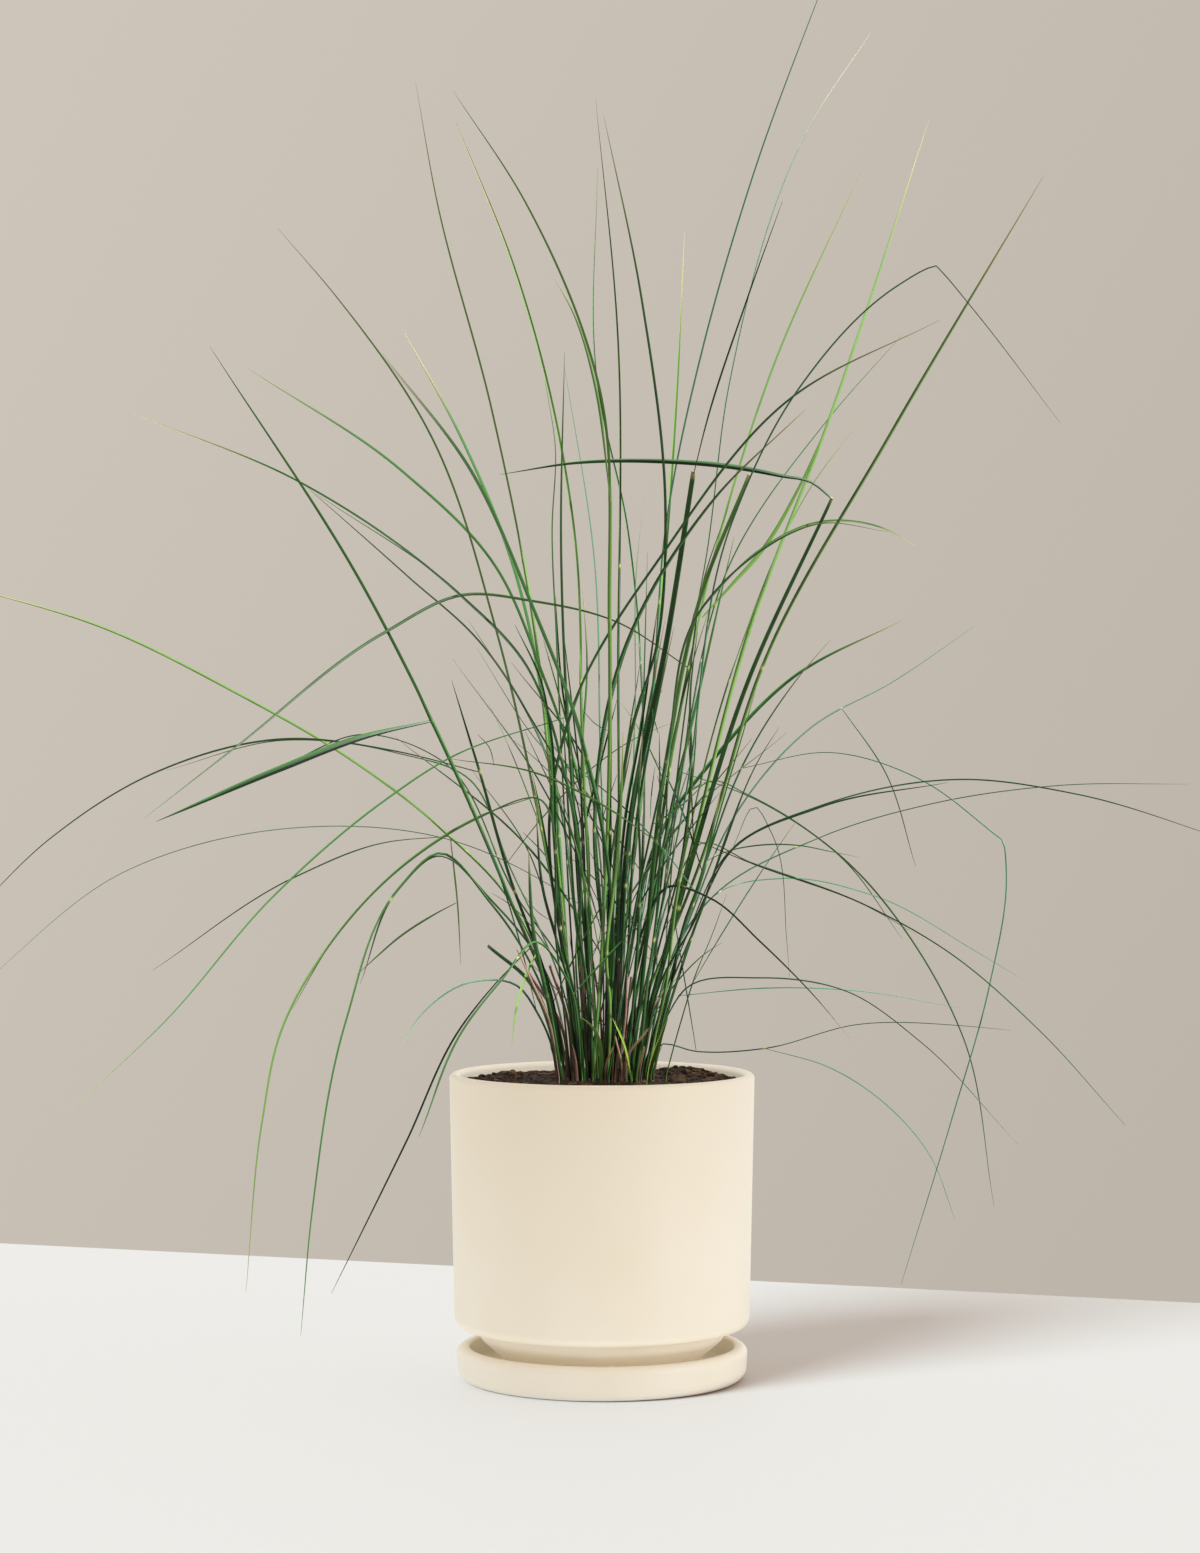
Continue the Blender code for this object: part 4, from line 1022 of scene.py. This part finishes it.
# %% Rows of the finer shoots
FINE_SHOOTS = [
    # green, depth of the tip, thickness, midline
    ("mid", 60, 1.5, [(-18, 260), (-26, 400), (-30, 491), (-33, 565), (-31, 620), (-38, 664)]),
    ("blue", 120, 1.1, [(16, 300), (22, 450), (23, 539), (28, 585)]),
    ("deep", -40, 1.5, [(38, 300), (56, 450), (69, 536), (84, 579)]),
    ("light", 80, 1.4, [(45, 300), (90, 480), (140, 594), (182, 649)]),
    ("mid", 30, 1.8, [(30, 260), (41, 344), (47, 423), (56, 460), (74, 520)]),
    ("deep", -60, 1.6, [(34, 270), (52, 340), (60, 396), (64, 447)]),
    ("deep", -20, 1.7, [(30, 260), (44, 340), (50, 384), (58, 443), (60, 475)]),
    ("mid", 20, 1.8, [(40, 260), (66, 330), (76, 368), (95, 433), (106, 471)]),
    ("deep", -70, 1.6, [(42, 250), (66, 310), (85, 366), (106, 414), (118, 433)]),
    ("deep", -50, 2.8, [(12, 260), (20, 377), (28, 428), (43, 510)]),
    ("deep", -35, 2.4, [(9, 260), (16, 377), (25, 428), (38, 520)]),
    ("mid", -75, 2.2, [(16, 260), (24, 377), (33, 428), (48, 500)]),
    ("deep", -30, 3.0, [(3, 240), (5, 344), (6, 453), (5, 520)]),
    ("mid", -80, 2.8, [(-22, 250), (-31, 344), (-35, 433), (-41, 464), (-58, 501)]),
    ("mid", -60, 1.9, [(-14, 270), (-23, 394), (-50, 443), (-89, 504)]),
    ("deep", 40, 1.3, [(-16, 280), (-25, 402), (-46, 427), (-83, 485)]),
    ("mid", -20, 2.0, [(-11, 250), (-17, 344), (-21, 423), (-27, 464), (-31, 520)]),
    ("mid", 30, 1.8, [(-8, 260), (-13, 425), (-10, 470), (-13, 530)]),
    ("mid", -90, 3.2, [(-34, 240), (-46, 299), (-49, 352)]),
    ("deep", -70, 2.4, [(-20, 254), (-30, 290), (-39, 323), (-44, 380)]),
    ("mid", -85, 2.6, [(-14, 220), (-18, 252), (-27, 294), (-32, 358), (-36, 420)]),
    ("deep", -95, 2.6, [(-7, 220), (-9, 252), (-18, 315), (-21, 358), (-26, 440)]),
    ("light", -90, 2.8, [(5, 252), (3, 273), (9, 336), (11, 358), (14, 430)]),
    ("deep", -90, 2.6, [(20, 241), (22, 263), (25, 342), (24, 380), (27, 430)]),
    ("mid", -95, 2.8, [(27, 231), (29, 252), (36, 305), (38, 336), (38, 430)]),
    ("light", -80, 2.6, [(36, 231), (41, 252), (49, 315), (55, 352), (62, 420)]),
    ("deep", -60, 2.6, [(36, 220), (45, 257), (54, 299), (65, 331), (80, 395)]),
    ("mid", -40, 2.4, [(43, 241), (52, 270), (67, 315), (79, 349), (98, 400)]),
    ("light", -70, 1.1, [(52, 235), (63, 270), (73, 294), (83, 322)]),
]
FINE_LEAVES = [
    # green, hue, depth of the tip, thickness, start, rest of the midline
    ("light", 0.6, 60, 4.4, (66, 505), [(85, 526), (107, 551), (130, 590), (150, 634)]),
    ("mid", 0.6, -20, 1.1, (70, 344), [(83, 350), (103, 354), (131, 354), (152, 350), (172, 346)]),
    ("light", 0.6, 140, 1.5, (-101, 361), [(-96, 315), (-94, 275)]),
    ("light", 0.6, 187, 2.4, (-97, 316), [(-112, 308), (-135, 293), (-150, 280), (-163, 268)]),
    ("light", 0.6, -70, 2.4, (-41, 287), [(-50, 269), (-57, 245), (-60, 221)]),
    ("light", 1.1, -70, 4.2, (-1, 194), [(-1, 205), (-1, 217), (-4, 229), (-9, 236), (-15, 240)]),
    ("young", 0.8, -70, 2.2, (20, 195), [(18, 206), (14, 223), (7, 239)]),
    ("young", 0.3, -66, 3.2, (30, 195), [(32, 206), (35, 216), (41, 232), (44, 240)]),
]
print(len(FINE_SHOOTS), "finer shoots and", len(FINE_LEAVES), "finer leaves")

# %% Fine shoots and fillers
FINE_SHARE = 0.74
FINE_REACH, FILLER_REACH = 30, 30
LIGHT_LIFT = 0.25
GREEN_DRAW = ["deep", "mid", "deep", "light"]
FILLERS, FILLER_LOW, FILLER_HIGH = 4, 90, 330


def filler_row():
    """A short blade somewhere in the clump that leans out a little with its place on the crown."""
    angle, reach = rng.uniform(0, 2 * pi), np.sqrt(rng.uniform(0, 1))
    x, y = polar(FILLER_REACH * reach, angle)
    height = rng.uniform(FILLER_LOW, FILLER_HIGH)
    spread = 1 + rng.uniform(0.5, 1.6) * height / 150
    line = [(x * 1.2, SHOOT_ROOT + 0.25 * height), (x * (1 + spread) / 2, SHOOT_ROOT + 0.6 * height),
            (x * spread + rng.normal(0, 8), SHOOT_ROOT + height)]
    return rng.choice(GREEN_DRAW), y * spread, rng.uniform(1.2, 2.4), line


fine_skins = {name: [] for name in GRASS}
for green, tip_depth, thickness, line in FINE_SHOOTS + [filler_row() for _ in range(FILLERS)]:
    x, y = root_wish(tip_depth, line)
    spot = (x, np.clip(3 * y, -FINE_REACH, FINE_REACH) + rng.normal(0, 2))
    stem = stem_path(spot, tip_depth, line)
    length = distances(stem)[-1]
    collars = [rng.uniform(0.3, 0.6) * length]
    hue = rng.uniform(0.4, 0.8) + (LIGHT_LIFT if green == "light" else 0)
    dry_tip = rng.choice([0, 0.6])
    fine_skins[green].append(shoot_surface(stem, thickness * FINE_SHARE, "tip", collars, hue, dry_tip))
print("finer shoots made:", sum(len(skins) for skins in fine_skins.values()))

# %% Fine leaves, crossing blades and hairs
LEAF_START_SHARE = 0.6
CROSSING_BLADES, CROSSING_LOW, CROSSING_HIGH = 8, 225, 330
HAIRS, HAIR_LOW, HAIR_HIGH = 20, 15, 230

for green, hue, tip_depth, thickness, start, line in FINE_LEAVES:
    line = [start] + line
    depths = tip_depth * (LEAF_START_SHARE + (1 - LEAF_START_SHARE) * shares(line))
    path = smooth_path([in_space(x, z, depth) for (x, z), depth in zip(line, depths)])
    fine_skins[green].append(leaf_surface(path, thickness, hue, 0.3))
for _ in range(CROSSING_BLADES):
    angle, reach = rng.uniform(0, 2 * pi), CROWN_RADIUS * np.sqrt(rng.uniform(0, 1))
    begin = np.array([*polar(reach, angle), rng.uniform(CROSSING_LOW, CROSSING_HIGH)])
    lean, length = rng.choice([-1, 1]) * radians(rng.uniform(12, 42)), rng.uniform(90, 230)
    way = np.array([np.sin(lean), rng.uniform(-0.3, 0.3), np.cos(lean)]) * length
    bow = length * rng.uniform(0.02, 0.12) * np.array([np.sign(lean), 0, -0.5])
    path = smooth_path([begin, begin + way / 2 - bow / 2, begin + way + bow])
    green = rng.choice(GREEN_DRAW)
    fine_skins[green].append(leaf_surface(path, rng.uniform(1.0, 1.9), rng.uniform(0.1, 0.6), 0.2))
for _ in range(HAIRS):
    height = rng.uniform(HAIR_LOW, HAIR_HIGH)
    reach = (0.9 * CROWN_RADIUS + CLUMP_SPREAD * height * 0.8) * np.sqrt(rng.uniform(0, 1))
    angle, heading = rng.uniform(0, 2 * pi, 2)
    start = np.array([*polar(reach, angle), SHOOT_ROOT + height])
    lean, length = radians(rng.uniform(15, 75)), rng.uniform(18, 55)
    way = direction(lean, heading)
    path = smooth_path([start, start + way * length / 2 + rng.normal(0, 2, 3), start + way * length], 4)
    fine_skins["deep"].append(leaf_surface(path, rng.uniform(0.4, 0.9), 0.0, 0.0))
print("with the leaves, crossing blades and hairs:", sum(len(skins) for skins in fine_skins.values()))

# %% One piece for each green
for green, skins in fine_skins.items():
    finish = "grass_light" if green == "young" else "grass_" + green
    piece = put_piece(f"fine_{green}_blades", skins, GRASS[green], finish)
    print(piece.name, len(skins), "blades,", triangles_of(piece), "triangles")

# %% [markdown]
# ## The crown, last year's stubs and dead straws
# All shoots rise from a low woody crown. Last year's stems were cut back to a hand's breadth and stand
# there as dull red-brown hollow stubs, wrapped in dead sheaths that have gone purple-brown. Some thin
# straws have dried to a pinkish tan, and dry scales stand between their feet. They are strands again, with
# a ragged end, in another material: a dead sheath has lost its wax, so it is rougher than a green one.

# %% Dead sheath material
DEAD_DARK, DEAD_RED, DEAD_TAN = "#140b09", "#43261f", "#bd947c"
DEAD_STREAK_MM = 30.0

dead, tree, shader = new_material("dry weathered grass sheath", {"Roughness": 0.75})
fibre = add_node(tree, "ShaderNodeAttribute", {}, attribute_name="fibre").outputs["Vector"]
dryness = add_node(tree, "ShaderNodeAttribute", {}, attribute_name="dryness").outputs["Fac"]
lines = add_node(tree, "ShaderNodeMapping", {
    "Vector": fibre, "Scale": (per_metre(VEIN_MM), per_metre(VEIN_MM), per_metre(DEAD_STREAK_MM))})
veins = add_node(tree, "ShaderNodeTexNoise", {"Vector": lines.outputs[0], "Scale": 1.0, "Detail": 3.0})
streak = add_node(tree, "ShaderNodeMapRange", {
    "Value": veins.outputs[0], "From Min": 0.35, "From Max": 0.65})
brown = add_node(tree, "ShaderNodeMix", {0: streak.outputs[0], 6: linear(DEAD_DARK), 7: linear(DEAD_RED)},
                 data_type="RGBA")
section = add_node(tree, "ShaderNodeAttribute", {}, attribute_name="section").outputs["Vector"]
side = add_node(tree, "ShaderNodeSeparateXYZ", {0: section}).outputs["X"]
pale_edge = add_node(tree, "ShaderNodeMapRange", {
    "Value": side, "From Min": 0.45, "From Max": 0.95, "To Max": 0.6})
paler = add_node(tree, "ShaderNodeMath", {0: dryness, 1: pale_edge.outputs[0]}, operation="MAXIMUM")
tan = add_node(tree, "ShaderNodeMix", {0: paler.outputs[0], 6: brown.outputs[2], 7: linear(DEAD_TAN)},
               data_type="RGBA")
bump = add_node(tree, "ShaderNodeBump", {
    "Height": veins.outputs[0], "Strength": 0.7, "Distance": 0.2 * MM})
tree.links.new(tan.outputs[2], shader.inputs["Base Color"])
tree.links.new(bump.outputs[0], shader.inputs["Normal"])
print(dead.name)

# %% Rows of the stubs and straws
STUBS = [
    # depth of the tip, thickness, midline
    (-40, 3.2, [(-21, 238), (-33, 273)]),
    (-46, 2.6, [(-12, 240), (-14, 273)]),
    (-30, 2.8, [(-4, 245), (-8, 276)]),
    (-44, 3.8, [(11, 238), (12, 277)]),
    (-50, 2.2, [(13, 232), (17, 266)]),
    (20, 3.4, [(-27, 232), (-50, 270)]),
    (34, 3.0, [(20, 240), (33, 268)]),
    (46, 2.8, [(-6, 240), (-9, 262)]),
    (8, 3.2, [(30, 238), (42, 258)]),
]
STRAWS = [
    # depth of the tip, thickness, midline
    (-54, 1.6, [(2, 204), (7, 219)]),
    (-52, 1.3, [(13, 204), (9, 226)]),
    (-56, 1.8, [(16, 210), (30, 231)]),
    (-52, 1.6, [(25, 204), (28, 219)]),
    (-60, 1.4, [(13, 220), (15, 233), (17, 267)]),
    (-60, 1.4, [(-36, 240), (-46, 262), (-56, 284)]),
    (30, 1.6, [(-6, 220), (-16, 250)]),
]
print(len(STUBS), "stubs and", len(STRAWS), "straws")

# %% Stubs and straws
ROOT_RING, ROOT_SPOTS = 34.5, 74
ROOT_TURN = pi * (3 - np.sqrt(5))
DEAD_SHARE = 0.75
STRAW_SHARE, STRAW_FRONT, STRAW_BACK = 1.4, -35, 33


def dead_strand(path, thickness, dryness):
    """A dull oval stem; each point of its last ring is moved along by a random amount, its pole inwards."""
    share = np.linspace(0, 1, len(path))
    half_width = DEAD_SHARE * thickness / 2 * (1 - 0.2 * share)
    piece = strand(path, half_width, 0.8 * half_width, 0, rng.uniform(0, pi), rng.uniform(0, FIBRE_START),
                   dryness=dryness + 0 * share)
    last = slice(-AROUND - 2, -2)
    forward = unit(path[-1] - path[-2])
    piece["points"][last] += np.outer(rng.uniform(-1, 2.5, AROUND), forward)
    piece["points"][-1] -= 3 * forward
    return piece


def free_spot(spots, wish):
    """The free spot nearest to the wish, which is then taken."""
    best = min(range(len(spots)), key=lambda k: np.hypot(spots[k][0] - wish[0], spots[k][1] - wish[1]))
    return spots.pop(best)


# A spiral whose radius grows with the square root of the count has its spots evenly apart.
reach = ROOT_RING * np.sqrt((np.arange(ROOT_SPOTS) + 0.5) / ROOT_SPOTS)
spots = list(zip(*polar(reach, np.arange(ROOT_SPOTS) * ROOT_TURN)))
dead_skins = []
for tip_depth, thickness, line in STUBS:
    path = stem_path(free_spot(spots, root_wish(tip_depth, line)), tip_depth, line)
    dead_skins.append(dead_strand(path, thickness, rng.uniform(0, 0.25)))
for tip_depth, thickness, line in STRAWS:
    x, y = root_wish(tip_depth, line)
    path = stem_path((x, np.clip(8 * y, STRAW_FRONT, STRAW_BACK)), tip_depth, line)
    paleness = rng.uniform(0.6, 1.0) * ease(np.linspace(0, 1, len(path)), 0.1, 0.7)
    dead_skins.append(dead_strand(path, STRAW_SHARE * thickness, paleness))
print("spots left free on the crown:", len(spots))

# %% Dry scales
SCALES, SCALE_REACH, SCALE_LOW, SCALE_HIGH = 30, 36, 8, 28

for _ in range(SCALES):
    angle, radius = rng.uniform(0, 2 * pi), SCALE_REACH * np.sqrt(rng.uniform(0.05, 1))
    root = np.array([*polar(radius, angle), CROWN_TOP - 2])
    height = rng.uniform(SCALE_LOW, SCALE_HIGH)
    out = unit(root * (1, 1, 0)) * height * rng.uniform(0.02, 0.3)
    points = [root, root + out * 0.3 + (0, 0, height * 0.55), root + out + (0, 0, height)]
    path = smooth_path(points, 4)
    share = np.linspace(0, 1, len(path))
    half_width = rng.uniform(0.8, 1.6) * (1 - share ** 2) + FINEST
    dead_skins.append(strand(path, half_width, 0.3 * half_width, 0.5, rng.uniform(0, pi),
                             rng.uniform(0, FIBRE_START), dryness=rng.uniform(0, 0.35) + 0 * share))
print("dead strands:", len(dead_skins))

# %% Crown
CROWN_FOOT, CROWN_SHOULDER = 187.0, 192.0
DOME_RISE, DOME_ROUGHNESS, DOME_LUMP = 3.0, 1.2, 3.0
DOME_RINGS, DOME_COLUMNS = 24, 72

radius = np.linspace(CROWN_RADIUS, 1, DOME_RINGS)
dome_height = CROWN_TOP - 2 + DOME_RISE * (1 - (radius / CROWN_RADIUS) ** 2)
dome = turned(np.stack([radius, dome_height], axis=1), DOME_COLUMNS)
dome[..., 2] += DOME_ROUGHNESS * lattice_noise(dome[..., 0], dome[..., 1], DOME_LUMP, 9)
base = turned(np.array([[CROWN_RADIUS, CROWN_FOOT], [CROWN_RADIUS, CROWN_SHOULDER]]), DOME_COLUMNS)
dome = np.vstack([base, dome])
dead_skins.append(skin(dome, (0, 0, CROWN_FOOT), (0, 0, CROWN_TOP + 1), fibre=dome * MM,
                       section=0 * dome, dryness=np.zeros(len(dome))))
crown = put_piece("crown_with_stubs", dead_skins, dead, "crown", ["crown"])
print("crown", triangles_of(crown), "triangles")

# %% [markdown]
# ## Table, room and light
# The plant stands on a plain pale table in flat paint, which mirrors next to nothing. Its far edge
# crosses the picture behind the pot, and beyond it there is only the warm grey of the room, so nothing
# hides the plant from behind. The room is a white tent: it shines softly from all around, a little
# dimmer and warmer from the front left, which models the planter. A broad bluish sun through a window at
# the left gives the table its soft shadow. A small one at the right picks out the folds of the blades, a
# weaker one does so for the dead crown, and one from behind lights the clump's other side without gloss.
# Two faint suns shape the planter, a warm one from below is what its saucer throws back, and a small
# lamp over the soil is the light between the blades. Each is linked to what it is for, as a photographer
# flags a lamp.

# %% Table
TABLE_PALE = "#c2b7b0"
EDGE_LEFT, EDGE_RIGHT = (-516, 663), (456, 326)
TABLE_REACH = 5000.0
TABLE_GAP = 0.2

slope = (EDGE_RIGHT[1] - EDGE_LEFT[1]) / (EDGE_RIGHT[0] - EDGE_LEFT[0])
edge_at = [EDGE_LEFT[1] + slope * (x - EDGE_LEFT[0]) for x in (-TABLE_REACH, TABLE_REACH)]
table_mesh = bpy.data.meshes.new("table")
corners = [(-TABLE_REACH, -TABLE_REACH), (TABLE_REACH, -TABLE_REACH), (TABLE_REACH, edge_at[1]),
           (-TABLE_REACH, edge_at[0])]
table_mesh.from_pydata([(x * MM, y * MM, 0) for x, y in corners], [], [(0, 1, 2, 3)])
table_inputs = {"Roughness": 0.7, "Base Color": linear(TABLE_PALE)}
table_mesh.materials.append(new_material("painted table top", table_inputs)[0])
table = bpy.data.objects.new("table", table_mesh)
table.location.z = -TABLE_GAP * MM
bpy.context.scene.collection.objects.link(table)
table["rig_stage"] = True
print("far edge at", [round(y) for y in edge_at], "mm")

# %% Room
ROOM_HIGH_LEFT, ROOM_LOW_RIGHT = "#cdc5ba", "#bdb5aa"
ROOM_FALL, FALL_FROM, FALL_TO = (-31.6, 0.0, 19.0), -7.1, 8.9
TENT, TENT_DIM = (1.0, 1.0, 0.98, 1.0), (0.60, 0.45, 0.28, 1.0)
TENT_STRENGTH = 1.0
DIM_AZIMUTH = radians(-22)

world = bpy.data.worlds.new("room")
bpy.context.scene.world = world
world.use_nodes = True
tree = world.node_tree
tree.nodes.clear()
way = add_node(tree, "ShaderNodeTexCoord", {}).outputs["Generated"]
fall = add_node(tree, "ShaderNodeVectorMath", {0: way, 1: ROOM_FALL}, operation="DOT_PRODUCT")
fall_share = add_node(tree, "ShaderNodeMapRange", {
    "Value": fall.outputs["Value"], "From Min": FALL_FROM, "From Max": FALL_TO})
seen = add_node(tree, "ShaderNodeMix", {
    0: fall_share.outputs[0], 6: linear(ROOM_LOW_RIGHT), 7: linear(ROOM_HIGH_LEFT)}, data_type="RGBA")
front_left = (float(np.sin(DIM_AZIMUTH)), -float(np.cos(DIM_AZIMUTH)), 0.0)
facing = add_node(tree, "ShaderNodeVectorMath", {0: way, 1: front_left}, operation="DOT_PRODUCT")
dim = add_node(tree, "ShaderNodeMath", {0: facing.outputs["Value"], 1: 0.0}, operation="MAXIMUM")
tent = add_node(tree, "ShaderNodeMix", {0: dim.outputs[0], 6: TENT, 7: TENT_DIM}, data_type="RGBA")
ray = add_node(tree, "ShaderNodeLightPath", {})
shown = add_node(tree, "ShaderNodeMix", {
    0: ray.outputs["Is Camera Ray"], 6: tent.outputs[2], 7: seen.outputs[2]}, data_type="RGBA")
glow = add_node(tree, "ShaderNodeBackground", {"Color": shown.outputs[2], "Strength": TENT_STRENGTH})
add_node(tree, "ShaderNodeOutputWorld", {"Surface": glow.outputs[0]})
print("tent of strength", TENT_STRENGTH)

# %% A light for chosen pieces
def linked_light(name, kind, strength, colour, receivers, blockers):
    """A light on the receivers only; where blockers are given, only they cast its shadows."""
    data = bpy.data.lights.new(name, kind)
    data.energy = strength
    data.color = colour
    light = bpy.data.objects.new(name, data)
    bpy.context.scene.collection.objects.link(light)
    for part, items in (("receiver_collection", receivers), ("blocker_collection", blockers)):
        if items:
            group = bpy.data.collections.new(name + " " + part)
            for item in items:
                group.objects.link(item)
            setattr(light.light_linking, part, group)
    return light


# %% Suns and lamp
WHITE = (1.0, 1.0, 1.0)
WINDOW_BLUE = (0.65, 0.87, 1.0)
SAUCER_WARM = (1.0, 0.86, 0.66)
LAMP_PLACE, LAMP_RADIUS, LAMP_WATTS = (0, 0, 250), 20, 0.14

foliage = [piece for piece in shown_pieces() if piece.get("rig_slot", "").startswith("grass")]
ceramics = [planter, saucer]
SUNS = [
    # name, azimuth (0 is the camera's side, 90 the right), height, softness in degrees, strength, colour,
    # the pieces it shines on and, where only some pieces cast its shadows, those pieces
    ("table sun", -43, 25, 32, 7.3, WINDOW_BLUE, [table], []),
    ("blade sun", 60, 45, 5, 14, WHITE, foliage, []),
    ("crown sun", 60, 45, 5, 8, WHITE, [crown], []),
    ("rim sun", -160, 40, 5, 4, WHITE, foliage, []),
    ("planter sun", 60, 15, 25, 0.56, WHITE, ceramics, ceramics),
    ("edge sun", -90, 10, 25, 0.14, WHITE, ceramics, ceramics),
    ("bounce from the saucer", 0, -80, 25, 0.55, SAUCER_WARM, [planter], [planter]),
]
for name, azimuth, height, softness, strength, colour, receivers, blockers in SUNS:
    sun = linked_light(name, "SUN", strength, colour, receivers, blockers)
    sun.data.angle = radians(softness)
    sun.rotation_euler = (radians(90 - height), 0, radians(azimuth))
    sun.visible_glossy = name != "rim sun"
lamp = linked_light("lamp over the soil", "POINT", LAMP_WATTS, WHITE, [planter], [planter])
lamp.data.shadow_soft_size = LAMP_RADIUS * MM
lamp.location = [value * MM for value in LAMP_PLACE]
lamp.visible_camera = False
bpy.context.scene.view_settings.view_transform = "Standard"
print("blade sun on", len(foliage), "pieces")

# %% [markdown]
# ## Sizes and the end
# How far the dressed plant reaches past the box of the solid model on each side is printed.

# %% How far it grew
look_low, look_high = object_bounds()
grown = [(cad_low - look_low) / MM, (look_high - cad_high) / MM]
print("grown by", [[round(value, 1) for value in side] for side in grown])
